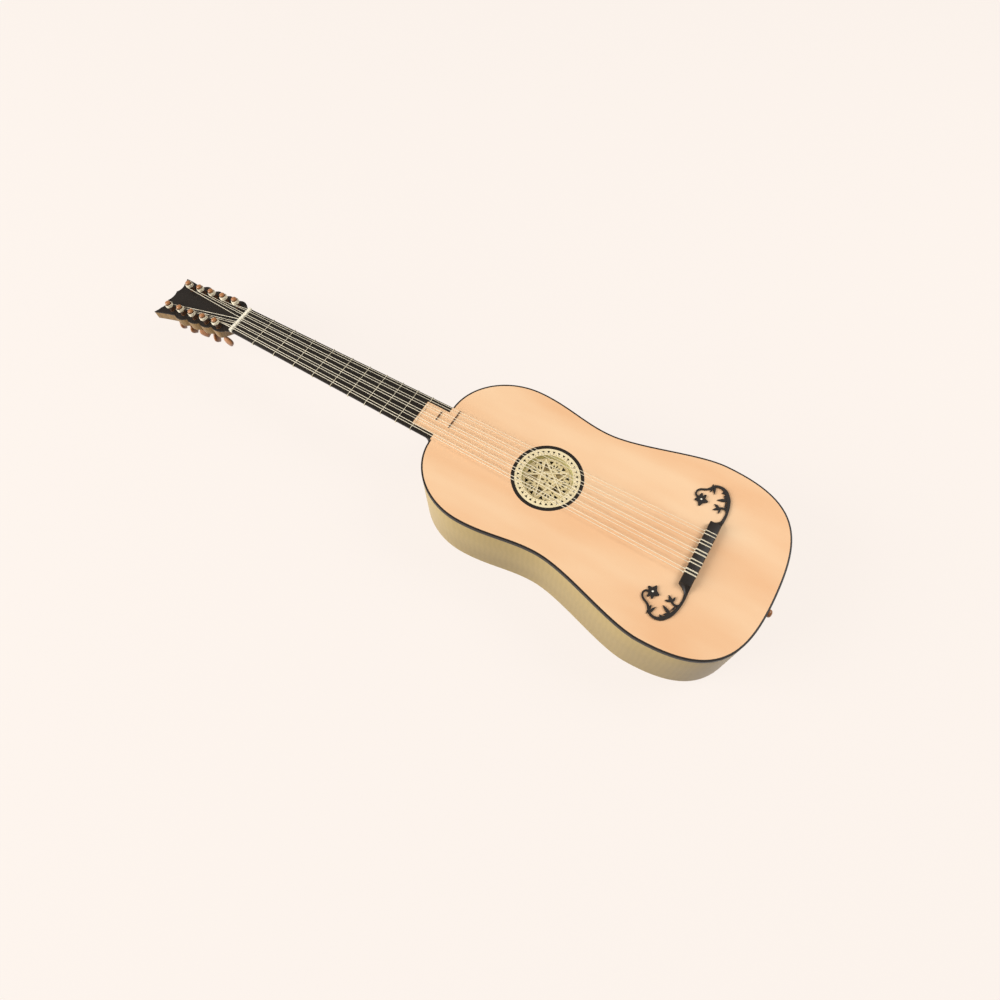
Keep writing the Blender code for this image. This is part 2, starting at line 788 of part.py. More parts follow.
def scallop(start, end, rise, steps):
    """A rounded lobe between two notches, bulging to the left of the way from start to end."""
    way = (end - start).normalized()
    side = Vector((way.y, -way.x))
    points = []
    for step in range(steps):
        share = step / steps
        swell = rise * math.sin(math.pi * share) ** LOBE_ROUNDNESS if step else 0.0
        points.append(between(start, end, share) + side * swell)
    return points


def peg_place(number):
    """Half distance between the rows, and distance along the head, of a peg counted from the nut."""
    share = number / (PEGS_PER_ROW - 1)
    half = between(PEG_ROW_HALF_NECK, PEG_ROW_HALF_TIP, share)
    return Vector((half, FIRST_PEG_AT + number * PEG_SPACING))


def head_side(lobe_depth, horn_bend):
    """Half the head's outline: a lobe beside each peg, a horn at the far corner and half the crest."""
    notches = [LOBE_START]
    notches += [peg_place(number).y + PEG_SPACING / 2 for number in range(PEGS_PER_ROW - 1)]
    first, last = notches[0], notches[-1]
    corners = [
        Vector((between(NOTCH_HALF_NECK, NOTCH_HALF_TIP, (v - first) / (last - first)), v))
        for v in notches
    ]
    half = [Vector((NECK_HALF_NUT, -HEAD_START)), Vector((NECK_HALF_NUT, 0.0))]
    for start, end in zip(corners, corners[1:]):
        half += scallop(start, end, lobe_depth, LOBE_STEPS)
    horn = Vector((HORN_HALF, HEAD_LENGTH))
    bend = Vector(horn_bend)
    for step in range(LOBE_STEPS):
        share = step / LOBE_STEPS
        half.append(between(between(corners[-1], bend, share), between(bend, horn, share), share))
    valley = Vector((CREST_VALLEY[0], HEAD_LENGTH - CREST_VALLEY[1]))
    notch = Vector((CREST_NOTCH[0], HEAD_LENGTH - CREST_NOTCH[1]))
    crest = [horn, between(horn, valley, 0.5) - Vector((0.0, CREST_RISE / 4))]
    crest += scallop(valley, notch, -CREST_RISE, LOBE_STEPS)
    return half + crest + [notch]


def head_outline():
    """A scalloped head, whose lobes stand out further on the treble side."""
    treble = head_side(LOBE_DEPTH_TREBLE, HORN_BEND_TREBLE)
    bass = mirrored(head_side(LOBE_DEPTH_BASS, HORN_BEND_BASS))
    return treble[:-1] + scallop(treble[-1], bass[0], -CREST_RISE, LOBE_STEPS + 1) + bass


def head_wood_thickness(v):
    return between(HEAD_THICKNESS_NECK, HEAD_THICKNESS_TIP, v / HEAD_LENGTH)


def cut_at_neck(bm):
    """Cuts the head square to the neck at the joint, and closes the cut."""
    tilt = math.radians(HEAD_TILT)
    cut = bmesh.ops.bisect_plane(
        bm,
        geom=bm.verts[:] + bm.edges[:] + bm.faces[:],
        plane_co=(0, 0, 0),
        plane_no=(0, math.cos(tilt), math.sin(tilt)),
        clear_inner=True,
    )
    edges = [item for item in cut["geom_cut"] if isinstance(item, bmesh.types.BMEdge)]
    bmesh.ops.contextual_create(bm, geom=edges)
    bmesh.ops.recalc_face_normals(bm, faces=bm.faces)


def add_head(materials):
    frame = bpy.data.objects.new("head_frame", None)
    frame.matrix_world = head_matrix()
    bpy.context.scene.collection.objects.link(frame)
    outline = head_outline()
    face = -VENEER_THICKNESS - SEAM
    wood_body = prism(outline, face - HEAD_THICKNESS_NECK, face)
    for vert in wood_body.verts:
        if vert.co.z < face - HEAD_THICKNESS_TIP / 2:
            vert.co.z = face - head_wood_thickness(vert.co.y)
            vert.co.x *= between(ROOT_TAPER_SHARE, 1.0, min(max(vert.co.y / ROOT_LENGTH, 0.0), 1.0))
    cut_at_neck(wood_body)
    veneer_body = prism(outline, -VENEER_THICKNESS, 0.0)
    cut_at_neck(veneer_body)
    head = add_object("peghead", wood_body, materials["walnut"], frame)
    veneer = add_object("peghead_veneer", veneer_body, materials["ebony"], frame)
    bm = bmesh.new()
    for side in (1, -1):
        for number in range(PEGS_PER_ROW):
            place = peg_place(number)
            low = -peg_grip(number) - SEAM
            heights = (PEG_WINDING_BASE, low - PEG_COLLAR_LENGTH)
            add_loft(bm, [
                circle(
                    peg_shaft_radius(number, height) + PEG_CLEARANCE,
                    HOLE_SIDES,
                    height,
                    (side * place.x, place.y),
                )
                for height in heights
            ])
    cutter = add_helper("peg_hole_cutter", bm, materials["walnut"], frame)
    combine(head, cutter, "DIFFERENCE")
    combine(veneer, cutter, "DIFFERENCE")
    return frame


# Pegs


def peg_grip(number):
    """Thickness of veneer and wood that a peg passes through."""
    return VENEER_THICKNESS + SEAM + head_wood_thickness(peg_place(number).y)


def peg_shaft_radius(number, height):
    """The shaft tapers evenly from the back of the head to its front."""
    share = -height / peg_grip(number)
    return between(PEG_FRONT_RADIUS, PEG_BACK_RADIUS, share)


def peg_rings(number):
    """Cross sections of a peg from its tip down to the end of its knob, as (height, a, b)."""
    grip = peg_grip(number)
    tip = PEG_TIP_HEIGHT
    collar = -grip - PEG_COLLAR_GAP
    neck = collar - PEG_COLLAR_LENGTH
    knob = neck - PEG_NECK_LENGTH
    entry = peg_shaft_radius(number, 0.0)
    round_rings = [
        (tip, PEG_TIP_RADIUS * TIP_END),
        (tip - PEG_TIP_LENGTH * TIP_ROUNDING_SHARE, PEG_TIP_RADIUS),
        (tip - PEG_TIP_LENGTH * (1 - TIP_ROUNDING_SHARE), PEG_TIP_RADIUS),
        (tip - PEG_TIP_LENGTH, PEG_WINDING_RADIUS),
        (PEG_WINDING_BASE, PEG_WINDING_RADIUS),
        (0.0, entry),
        (collar, peg_shaft_radius(number, collar)),
        (collar, PEG_COLLAR_RADIUS),
        (neck, PEG_COLLAR_RADIUS),
        (neck - PEG_NECK_LENGTH * NECK_FLARE_SHARE, PEG_NECK_RADIUS),
    ]
    rings = [(height, radius, radius) for height, radius in round_rings]
    for step in range(KNOB_STEPS):
        share = step / (KNOB_STEPS - 1)
        bulge = math.sin(math.pi * between(*KNOB_ROUNDING_SHARES, share))
        wide = KNOB_HALF_WIDTH * bulge
        thick = between(PEG_NECK_RADIUS, KNOB_HALF_THICKNESS, min(1.0, 2 * share)) * math.sqrt(bulge)
        rings.append((knob - KNOB_LENGTH * share, wide, thick))
    return rings


def add_pegs(frame, materials):
    for side, name in ((1, "treble"), (-1, "bass")):
        for number in range(PEGS_PER_ROW):
            rings = [
                [
                    Vector((point.x * wide, point.y * thick, height))
                    for point in circle(1.0, PEG_SIDES)
                ]
                for height, wide, thick in peg_rings(number)
            ]
            peg = add_object(f"peg_{name}_{number + 1}", loft(rings), materials["plum"], frame)
            place = peg_place(number)
            peg.location = (side * place.x, place.y, 0.0)
            peg.rotation_euler = (0.0, 0.0, math.radians(KNOB_TURNS[name][number]))


# Bridge and moustaches


def add_bridge(materials):
    """A tie block: upright towards the rose, sloping down behind."""
    low = TOP + SEAM
    top = low + BRIDGE_HEIGHT
    front, rear = along(0.0), along(-BRIDGE_WIDTH)
    section = [
        (front, low),
        (front, top - BRIDGE_CHAMFER),
        (front - BRIDGE_CHAMFER, top),
        (rear + BRIDGE_CHAMFER, top),
        (rear, low + BRIDGE_REAR_HEIGHT),
        (rear, low),
    ]
    ends = (-BRIDGE_HALF_LENGTH, BRIDGE_HALF_LENGTH)
    bm = loft([[Vector((x, y, z)) for y, z in section] for x in ends])
    add_object("bridge", bm, materials["ebony"])


def ribbon(path, widths):
    """The outline of a strip along a path, as wide as widths say at each of its points."""
    left, right = [], []
    for index, point in enumerate(path):
        before = path[max(index - 1, 0)]
        after = path[min(index + 1, len(path) - 1)]
        way = (after - before).normalized()
        side = Vector((-way.y, way.x)) * widths[index] / 2
        left.append(point + side)
        right.append(point - side)
    return left + right[::-1]


def leaf(root, tip, width, steps=4):
    """A pointed leaf from its root to its tip."""
    way = tip - root
    side = Vector((-way.y, way.x)).normalized()
    edge = [math.sin(math.pi * step / steps) * width / 2 for step in range(steps + 1)]
    upper = [between(root, tip, step / steps) + side * edge[step] for step in range(steps)]
    lower = [between(root, tip, step / steps) - side * edge[step] for step in range(steps, 0, -1)]
    return upper + lower


def flower(centre):
    """Blunt petals of uneven reach, with a notch midway between each two."""
    points = []
    for index, (turn, reach) in enumerate(PETALS):
        for side in (-1, 0, 1):
            share = PETAL_SHOULDER_SHARE if side else 1.0
            points.append(centre + polar(reach * share, turn + side * PETAL_SHOULDER_TURN))
        onward = (PETALS[(index + 1) % len(PETALS)][0] - turn) % 360
        points.append(centre + polar(PETAL_NOTCH, turn + onward / 2))
    return points


def moustache_shapes():
    """Outlines of the treble moustache, in metres from the bridge's middle and its string edge."""
    arm = (
        (0.0490, -0.0123, 0.0042),
        (0.0608, -0.0130, 0.0030),
        (0.0673, -0.0122, 0.0032),
        (0.0738, -0.0107, 0.0037),
        (0.0803, -0.0082, 0.0043),
        (0.0858, -0.0045, 0.0045),
        (0.0896, -0.0008, 0.0042),
        (0.0916, 0.0035, 0.0033),
        (0.0920, 0.0078, 0.0027),
        (0.0908, 0.0118, 0.0026),
        (0.0886, 0.0142, 0.0028),
        (0.0848, 0.0167, 0.0028),
        (0.0815, 0.0197, 0.0023),
        (0.0778, 0.0266, 0.0021),
        (0.0749, 0.0288, 0.0021),
        (0.0715, 0.0293, 0.0020),
        (0.0686, 0.0278, 0.0020),
        (0.0668, 0.0240, 0.0020),
    )
    branch = ((0.0656, -0.0122), (0.0677, -0.0088), (0.0678, -0.0056), (0.0658, -0.0028), (0.0640, -0.0006))
    root = BRIDGE_HALF_LENGTH + SEAM
    shoulder = (
        (root, -BRIDGE_WIDTH), (0.0515, -0.0143), (0.0515, -0.0112), (0.0485, -0.0096), (0.0462, -0.0077),
        (0.0447, -0.0057), (root, -0.0040),
    )
    return [
        [Vector(point) for point in shoulder],
        ribbon([Vector((x, y)) for x, y, _ in arm], [width for _, _, width in arm]),
        flower(Vector((0.0660, 0.0204))),
        ribbon([Vector(point) for point in branch], (0.0018, 0.0018, 0.0018, 0.0026, 0.0030)),
        leaf(Vector((0.0653, -0.0024)), Vector((0.0680, 0.0046)), 0.0027),
        leaf(Vector((0.0654, -0.0022)), Vector((0.0606, 0.0034)), 0.0030),
        leaf(Vector((0.0662, -0.0030)), Vector((0.0589, -0.0039)), 0.0026),
        leaf(Vector((0.0668, -0.0089)), Vector((0.0772, -0.0056)), 0.0018),
        leaf(Vector((0.0803, -0.0078)), Vector((0.0746, 0.0040)), 0.0038),
        leaf(Vector((0.0800, -0.0072)), Vector((0.0840, -0.0004)), 0.0030),
        leaf(Vector((0.0897, -0.0044)), Vector((0.0860, 0.0028)), 0.0044),
        leaf(Vector((0.0806, 0.0148)), Vector((0.0922, 0.0158)), 0.0030),
        leaf(Vector((0.0908, 0.0132)), Vector((0.0800, 0.0096)), 0.0029),
    ]


def add_moustache(name, mirror, materials):
    """One fretwork piece: its shapes overlap and are joined, each a hair lower than the last."""
    low = TOP + SEAM
    base = None
    for index, shape in enumerate(moustache_shapes()):
        outline = mirrored(shape) if mirror else shape
        top = low + MOUSTACHE_THICKNESS - index * LAYER_STEP
        bm = prism(outline, low + index * LAYER_STEP / 2, top)
        if base is None:
            base = add_object(name, bm, materials["ebony"])
            base.location = (0.0, along(0.0), 0.0)
            continue
        part = add_helper(f"{name}_shape_{index}", bm, materials["ebony"])
        part.location = base.location
        combine(base, part, "UNION")


# Strings


def string_places(index):
    """X of a string at the nut and at the bridge, counted from the treble side."""
    course, member = divmod(index, 2)
    out = (COURSES - 1) / 2 - course
    half = 0.5 - member
    nut = out * COURSE_SPACING_NUT + half * PAIR_SPACING_NUT
    bridge = out * COURSE_SPACING_BRIDGE + half * PAIR_SPACING_BRIDGE
    return nut, bridge


def winding_points(start, side, number, radius):
    """Where a string meets its peg, and its turns round it, in the head's frame."""
    centre = peg_place(number)
    centre.x *= side
    reach = PEG_WINDING_RADIUS + STRING_CLEARANCE + radius
    back = Vector((start.x, start.y)) - centre
    spread = math.acos(reach / back.length)
    first = math.atan2(back.y, back.x) - side * spread
    points = []
    for step in range(WINDING_TURNS * POINTS_PER_TURN + 1):
        angle = first - side * math.tau * step / POINTS_PER_TURN
        height = WINDING_START + WINDING_PITCH * step / POINTS_PER_TURN
        points.append(Vector((
            centre.x + reach * math.cos(angle),
            centre.y + reach * math.sin(angle),
            height,
        )))
    return points


def least_gap(points, diameter):
    """The smallest space between one turn of a winding and another, over points half a turn apart."""
    apart = POINTS_PER_TURN // 2
    distances = [
        (first - second).length
        for index, first in enumerate(points)
        for second in points[index + apart:]
    ]
    return min(distances) - diameter


def string_points(index):
    """A string's whole route, and the part of it that is wound on its peg."""
    radius = COURSE_DIAMETERS[index // 2] / 2
    nut_x, bridge_x = string_places(index)
    off = STRING_CLEARANCE + radius
    over = TOP + SEAM + BRIDGE_HEIGHT + off
    front, rear = along(0.0) + off, along(-BRIDGE_WIDTH) - off
    leave = TOP + STRING_HEIGHT_BRIDGE
    turn = BRIDGE_CHAMFER
    nut_top = TOP + NUT_RISE + off
    route = [
        (bridge_x, rear, over - STRING_TAIL_DROP),
        (bridge_x, rear, over - 2 * turn),
        (bridge_x, rear + turn, over),
        (bridge_x, front - turn, over),
        (bridge_x, front, over - turn),
        (bridge_x, front, leave + turn),
        (bridge_x, front + turn, leave),
        (nut_x, along(STRING_LENGTH), nut_top),
        (nut_x, along(STRING_LENGTH + NUT_THICKNESS), nut_top),
    ]
    route = [Vector(point) for point in route]
    treble = index < COURSES
    number = index if treble else 2 * COURSES - 1 - index
    to_world = head_matrix()
    start = to_world.inverted() @ route[-1]
    turns = winding_points(start, 1 if treble else -1, number, radius)
    return route, [to_world @ point for point in turns]


def add_strings(materials):
    gaps = []
    for index in range(2 * COURSES):
        diameter = COURSE_DIAMETERS[index // 2]
        route, turns = string_points(index)
        gaps.append(least_gap(turns, diameter))
        tube(f"string_{index + 1}", route + turns, diameter / 2, materials["gut"])
    print(f"least gap between the turns of a winding: {min(gaps) * 1000:.2f} mm")


# End button


def add_button(shell, materials):
    """The turned button: its shank passes through the ribs' joint into the tail block."""
    depth = RIB_THICKNESS + TAIL_BLOCK_LENGTH * BUTTON_BLIND_SHARE
    profile = [(BUTTON_RADIUS * wide, BUTTON_REACH * high) for wide, high in BUTTON_HEAD_SHARES]
    profile += [(profile[-1][0], SEAM), (BUTTON_SHANK_RADIUS, SEAM), (BUTTON_SHANK_RADIUS, -depth)]
    place = (0.0, along(-TAIL_TO_BRIDGE), BUTTON_HEIGHT)
    turn = (math.radians(90), 0.0, 0.0)
    button = add_object("end_button", turned(profile, HOLE_SIDES), materials["plum"])
    button.location = place
    button.rotation_euler = turn
    wide = BUTTON_SHANK_RADIUS + SEAM
    hole = ((wide, BUTTON_REACH), (wide, -depth - SEAM))
    cutter = add_helper("button_hole_cutter", turned(hole, HOLE_SIDES), materials["plum"])
    cutter.location = place
    cutter.rotation_euler = turn
    for item in shell:
        combine(item, cutter, "DIFFERENCE")


def main():
    clear_scene()
    materials = make_materials()
    add_back(materials)
    ribs = add_ribs(materials)
    add_binding(materials)
    add_linings(materials)
    tail_block = add_blocks(materials)
    add_bars(materials)
    add_soundboard(materials)
    add_ring(materials)
    add_rose(materials)
    add_neck(materials)
    add_fingerboard(materials)
    add_nut(materials)
    add_frets(materials)
    frame = add_head(materials)
    add_pegs(frame, materials)
    add_bridge(materials)
    add_moustache("moustache_treble", False, materials)
    add_moustache("moustache_bass", True, materials)
    add_strings(materials)
    add_button((*ribs, tail_block), materials)


main()
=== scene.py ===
"""The looks of a five-course baroque guitar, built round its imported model.

The guitar lies on its back: +Z points out of the soundboard, +Y runs along the neck towards the
head and +X to the treble side. Lengths are metres unless a name ends in _mm. Angles are degrees.
"""

import logging
import math
from collections.abc import Callable, Sequence
from dataclasses import dataclass, field, replace
from enum import Enum
from functools import lru_cache
from typing import ClassVar

import bmesh
import bpy
from bmesh.types import BMEdge, BMesh, BMFace, BMVert
from bpy.types import Material, NodeSocket, NodeTree, Object
from mathutils import Matrix, Vector


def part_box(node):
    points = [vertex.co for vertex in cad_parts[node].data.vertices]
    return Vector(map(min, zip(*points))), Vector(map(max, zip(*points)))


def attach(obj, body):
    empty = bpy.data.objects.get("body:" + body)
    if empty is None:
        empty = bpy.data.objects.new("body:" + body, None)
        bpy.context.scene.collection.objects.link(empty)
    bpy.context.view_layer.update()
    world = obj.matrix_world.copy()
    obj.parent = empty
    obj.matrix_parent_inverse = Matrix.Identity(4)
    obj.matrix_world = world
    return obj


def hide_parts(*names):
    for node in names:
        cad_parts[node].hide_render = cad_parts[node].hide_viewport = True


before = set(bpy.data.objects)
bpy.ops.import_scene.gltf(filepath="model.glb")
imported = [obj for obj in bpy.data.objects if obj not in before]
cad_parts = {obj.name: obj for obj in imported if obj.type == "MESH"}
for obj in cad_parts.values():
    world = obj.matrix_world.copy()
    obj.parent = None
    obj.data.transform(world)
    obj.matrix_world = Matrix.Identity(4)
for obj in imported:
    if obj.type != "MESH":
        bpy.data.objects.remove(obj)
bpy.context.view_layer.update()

LOG = logging.getLogger("baroque_guitar")
MM = 0.001
# The body that every fixed piece rides on
GUITAR = "guitar"
# The attribute that says how far along a bent strip a place is
RUN = "run"
# Angle above which an edge counts as sharp
SHARP = 30.0
# Length of one wave of the wave texture at scale 1
WAVE_PERIOD = math.pi / 10

BRIDGE_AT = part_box("bridge")[1].y
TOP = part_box("soundboard")[1].z
ROSE_CENTRE = (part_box("soundhole_ring")[0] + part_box("soundhole_ring")[1]) / 2

Outline = list[Vector]
Pair = tuple[float, float]
Pairs = tuple[Pair, ...]
Triple = tuple[float, float, float]
# A slit of the rose: radius and angle of one end, radius and angle of the other, greatest width
Slit = tuple[float, float, float, float, float]
SocketValue = float | int | tuple[float, ...] | Vector | NodeSocket


@dataclass(frozen=True)
class Plan:
    """Sizes that several pieces follow. Places are distances from the string edge of the bridge."""

    string_length: float = 0.660
    neck_at: float = 0.341
    tongue_at: float = 0.373
    tongue_half: float = 0.0184
    half_join: float = 0.0266
    half_nut: float = 0.0216
    nut_thickness: float = 0.0040
    board_thickness: float = 0.0025
    ring_outer: float = 0.0442
    bridge_height: float = 0.0080
    bridge_width: float = 0.0140
    seam: float = 0.0003
    body_middle: float = 0.15

    @property
    def nut_end(self) -> float:
        """Place of the nut's far side."""
        return self.string_length + self.nut_thickness


PLAN = Plan()


# Plain geometry


def along(distance: float) -> float:
    """World Y of a place this far from the string edge of the bridge, towards the head."""
    return BRIDGE_AT + distance


def placed(points: Sequence[Pair | Vector]) -> Outline:
    """Flat vectors of points that are given by their X and their distance from the bridge."""
    return [Vector((point[0], along(point[1]))) for point in points]


def between(first: Vector | float, second: Vector | float, share: float) -> Vector | float:
    """The value this share of the way from the first to the second."""
    return first + (second - first) * share


def polar(radius: float, degrees: float) -> Vector:
    """A flat vector of this length at this angle from +X."""
    angle = math.radians(degrees)
    return Vector((radius * math.cos(angle), radius * math.sin(angle)))


def circle(radius: float, steps: int, centre: Vector | None = None) -> Outline:
    """Points evenly spaced round a flat circle.

    Args:
        radius: Radius of the circle.
        steps: Number of points.
        centre: Middle of the circle, or the origin.

    Returns:
        The points, anticlockwise from +X.
    """
    middle = centre if centre is not None else Vector((0.0, 0.0))
    return [middle + polar(radius, 360 * step / steps) for step in range(steps)]


def mirrored(points: Outline) -> Outline:
    """The same flat outline on the bass side, wound the same way round."""
    return [Vector((-point.x, point.y)) for point in reversed(points)]


def curve_point(handles: Sequence[Vector], t: float) -> Vector:
    """Finds a point on a cubic Bezier curve.

    Args:
        handles: Its start, its two handles and its end.
        t: Share of the way along it, from 0 to 1.

    Returns:
        The point.
    """
    s = 1 - t
    start, leave, arrive, end = handles
    return start * s**3 + leave * (3 * s * s * t) + arrive * (3 * s * t * t) + end * t**3


def curve_way(handles: Sequence[Vector], t: float) -> Vector:
    """Finds the way that a cubic Bezier curve runs.

    Args:
        handles: Its start, its two handles and its end.
        t: Share of the way along it, from 0 to 1.

    Returns:
        The unit direction at t.
    """
    s = 1 - t
    start, leave, arrive, end = handles
    slope = (leave - start) * (s * s) + (arrive - leave) * (2 * s * t) + (end - arrive) * (t * t)
    return slope.normalized()


def flowing(points: Sequence[Vector], steps: int) -> list[Vector]:
    """A smooth line through points, by Catmull and Rom's rule.

    Args:
        points: The points that the line passes through.
        steps: Steps between one of them and the next.

    Returns:
        The line's points, from the first to the last.
    """
    padded = [points[0] * 2 - points[1], *points, points[-1] * 2 - points[-2]]
    line = []
    for a, b, c, d in zip(padded, padded[1:], padded[2:], padded[3:]):
        for step in range(steps):
            t = step / steps
            line.append(0.5 * (
                b * 2 + (c - a) * t + (a * 2 - b * 5 + c * 4 - d) * t**2 + (b * 3 - a - c * 3 + d) * t**3
            ))
    return line + [points[-1]]


def spread(values: Sequence[float], count: int) -> list[float]:
    """Draws values out evenly, with straight steps between them.

    Args:
        values: The values.
        count: How many are wanted.

    Returns:
        The values wanted.
    """
    drawn = []
    for index in range(count):
        place = index * (len(values) - 1) / (count - 1)
        low = min(int(place), len(values) - 2)
        drawn.append(between(values[low], values[low + 1], place - low))
    return drawn


# Mesh tools


def close_outline(bm: BMesh, points: Sequence[Vector], height: float | None) -> list:
    """Adds a closed ring of edges.

    Args:
        bm: The mesh that gets the ring.
        points: Its corners, flat or in space.
        height: Z of the ring where its corners are flat.

    Returns:
        The ring's edges.
    """
    corners = [bm.verts.new(point if height is None else (point.x, point.y, height)) for point in points]
    return [bm.edges.new(pair) for pair in zip(corners, corners[1:] + corners[:1])]


def add_plate(
    bm: BMesh, outline: Outline, low: float, high: float, holes: Sequence[Outline] = ()
) -> None:
    """Adds a flat plate, pierced by holes.

    Args:
        bm: The mesh that gets the plate.
        outline: The plate's edge.
        low: Z of its underside.
        high: Z of its face.
        holes: Outlines of what is cut out of it.
    """
    edges = close_outline(bm, outline, low)
    for hole in holes:
        edges += close_outline(bm, hole, low)
    if holes:
        filled = bmesh.ops.triangle_fill(bm, use_beauty=True, use_dissolve=False, edges=edges)
        faces = [item for item in filled["geom"] if isinstance(item, BMFace)]
    else:
        faces = bmesh.ops.contextual_create(bm, geom=edges)["faces"]
    thicken(bm, faces, high - low)


def thicken(bm: BMesh, faces: Sequence[BMFace], rise: float) -> None:
    """Gives flat faces a thickness.

    Args:
        bm: The mesh that holds them.
        faces: The faces.
        rise: The thickness, upwards.
    """
    raised = bmesh.ops.extrude_face_region(bm, geom=faces)["geom"]
    tops = [item for item in raised if isinstance(item, BMVert)]
    bmesh.ops.translate(bm, vec=(0, 0, rise), verts=tops)


def add_skin(bm: BMesh, rings: Sequence[Sequence[Vector]]) -> None:
    """Adds a closed skin over rings that have the same number of corners.

    Args:
        bm: The mesh that gets the skin.
        rings: The rings in order, each closed at both of the skin's ends by a face.
    """
    loops = [close_outline(bm, ring, None) for ring in rings]
    for first, second in zip(loops, loops[1:]):
        bmesh.ops.bridge_loops(bm, edges=first + second)
    for end in (loops[0], loops[-1]):
        bmesh.ops.contextual_create(bm, geom=end)


def add_turning(bm: BMesh, profile: Sequence[Pair], steps: int) -> None:
    """Adds a shape turned round the Z axis, as on a lathe.

    Args:
        bm: The mesh that gets the shape.
        profile: Radius and height of each corner of half its section.
        steps: Number of steps in a full turn.
    """
    corners = [bm.verts.new((radius, 0.0, height)) for radius, height in profile]
    edges = [bm.edges.new(pair) for pair in zip(corners, corners[1:])]
    if profile[0][0] > 0 and profile[-1][0] > 0:
        edges.append(bm.edges.new((corners[-1], corners[0])))
    bmesh.ops.spin(
        bm, geom=corners + edges, cent=(0, 0, 0), axis=(0, 0, 1), angle=math.tau, steps=steps,
        use_merge=True, use_duplicate=False,
    )
    bmesh.ops.remove_doubles(bm, verts=bm.verts, dist=MM / 1000)


def soften(
    bm: BMesh,
    width: float,
    segments: int = 2,
    choose: Callable[[BMEdge], bool] | None = None,
) -> None:
    """Rounds the sharp edges of a mesh.

    Args:
        bm: The mesh.
        width: How far the rounding reaches from an edge.
        segments: Number of steps in the rounding.
        choose: Says whether an edge is rounded, or None for all.
    """
    bmesh.ops.recalc_face_normals(bm, faces=bm.faces)
    limit = math.radians(SHARP)
    edges = [
        edge
        for edge in bm.edges
        if len(edge.link_faces) == 2 and edge.calc_face_angle() > limit and (choose is None or choose(edge))
    ]
    bmesh.ops.bevel(
        bm, geom=edges, offset=width, offset_type="OFFSET", segments=segments, profile=0.5,
        affect="EDGES", material=-1, clamp_overlap=True,
    )


def at_height(height: float) -> Callable[[BMEdge], bool]:
    """A choice of the edges that lie at this height."""
    return lambda edge: all(abs(vert.co.z - height) < MM / 100 for vert in edge.verts)


def facing_out(edge: BMEdge) -> bool:
    """Tells the edges of sides that face away from the middle of the body from the others.

    Args:
        edge: The edge.

    Returns:
        Whether one of its faces is such a side.
    """
    middle = (edge.verts[0].co + edge.verts[1].co) / 2 - Vector((0.0, along(PLAN.body_middle), 0.0))
    return any(abs(face.normal.z) < 0.5 and face.normal.dot(middle) > 0 for face in edge.link_faces)


def add_object(name: str, data: bpy.types.ID) -> Object:
    """Adds an object to the scene.

    Args:
        name: Its name.
        data: Its mesh, curve, light or camera.

    Returns:
        The object.
    """
    item = bpy.data.objects.new(name, data)
    bpy.context.scene.collection.objects.link(item)
    return item


def add_mesh(name: str, bm: BMesh) -> Object:
    """Adds an object with a mesh to the scene.

    Args:
        name: Its name.
        bm: The mesh, which is used up.

    Returns:
        The object.
    """
    mesh = bpy.data.meshes.new(name)
    bm.to_mesh(mesh)
    bm.free()
    return add_object(name, mesh)


def make_piece(
    name: str, bm: BMesh, finishes: "Sequence[Finish]", nodes: Sequence[str] = (), body: str = GUITAR
) -> Object:
    """Turns a mesh into a finished piece that rides on a body.

    Args:
        name: Name of the piece.
        bm: Its mesh, which is used up.
        finishes: Its finishes, in the order of its faces' numbers.
        nodes: The CAD nodes that it stands for.
        body: The body that it moves with.

    Returns:
        The piece.
    """
    bmesh.ops.recalc_face_normals(bm, faces=bm.faces)
    piece = add_mesh(name, bm)
    piece.data.shade_smooth()
    piece.data.set_sharp_from_angle(angle=math.radians(SHARP))
    return settle(piece, finishes, nodes, body)


def settle(item: Object, finishes: "Sequence[Finish]", nodes: Sequence[str], body: str) -> Object:
    """Gives a piece its finishes and its body, and hides the nodes that it stands for.

    Args:
        item: The piece, in place.
        finishes: Its finishes.
        nodes: The CAD nodes that it stands for.
        body: The body that it moves with.

    Returns:
        The piece.
    """
    for finish in finishes:
        item.data.materials.append(finish.material())
    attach(item, body)
    if nodes:
        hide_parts(*nodes)
    LOG.info("%s rides on %s", item.name, body)
    return item


def make_cord(
    name: str,
    lines: Sequence[tuple[Sequence[Vector], bool]],
    radius: float,
    nodes: Sequence[str],
    body: str = GUITAR,
) -> Object:
    """A round gut piece through lines of points.

    Args:
        name: Name of the piece.
        lines: Points of each line, and whether it closes on itself.
        radius: Radius of the gut.
        nodes: The CAD nodes that it stands for.
        body: The body that it moves with.

    Returns:
        The piece.
    """
    data = bpy.data.curves.new(name, "CURVE")
    data.dimensions = "3D"
    data.bevel_depth = radius
    data.bevel_resolution = 2
    data.use_fill_caps = True
    for points, closed in lines:
        spline = data.splines.new("POLY")
        spline.points.add(len(points) - 1)
        for corner, point in zip(spline.points, points):
            corner.co = (*point, 1.0)
        spline.use_cyclic_u = closed
    return settle(add_object(name, data), [GUT], nodes, body)


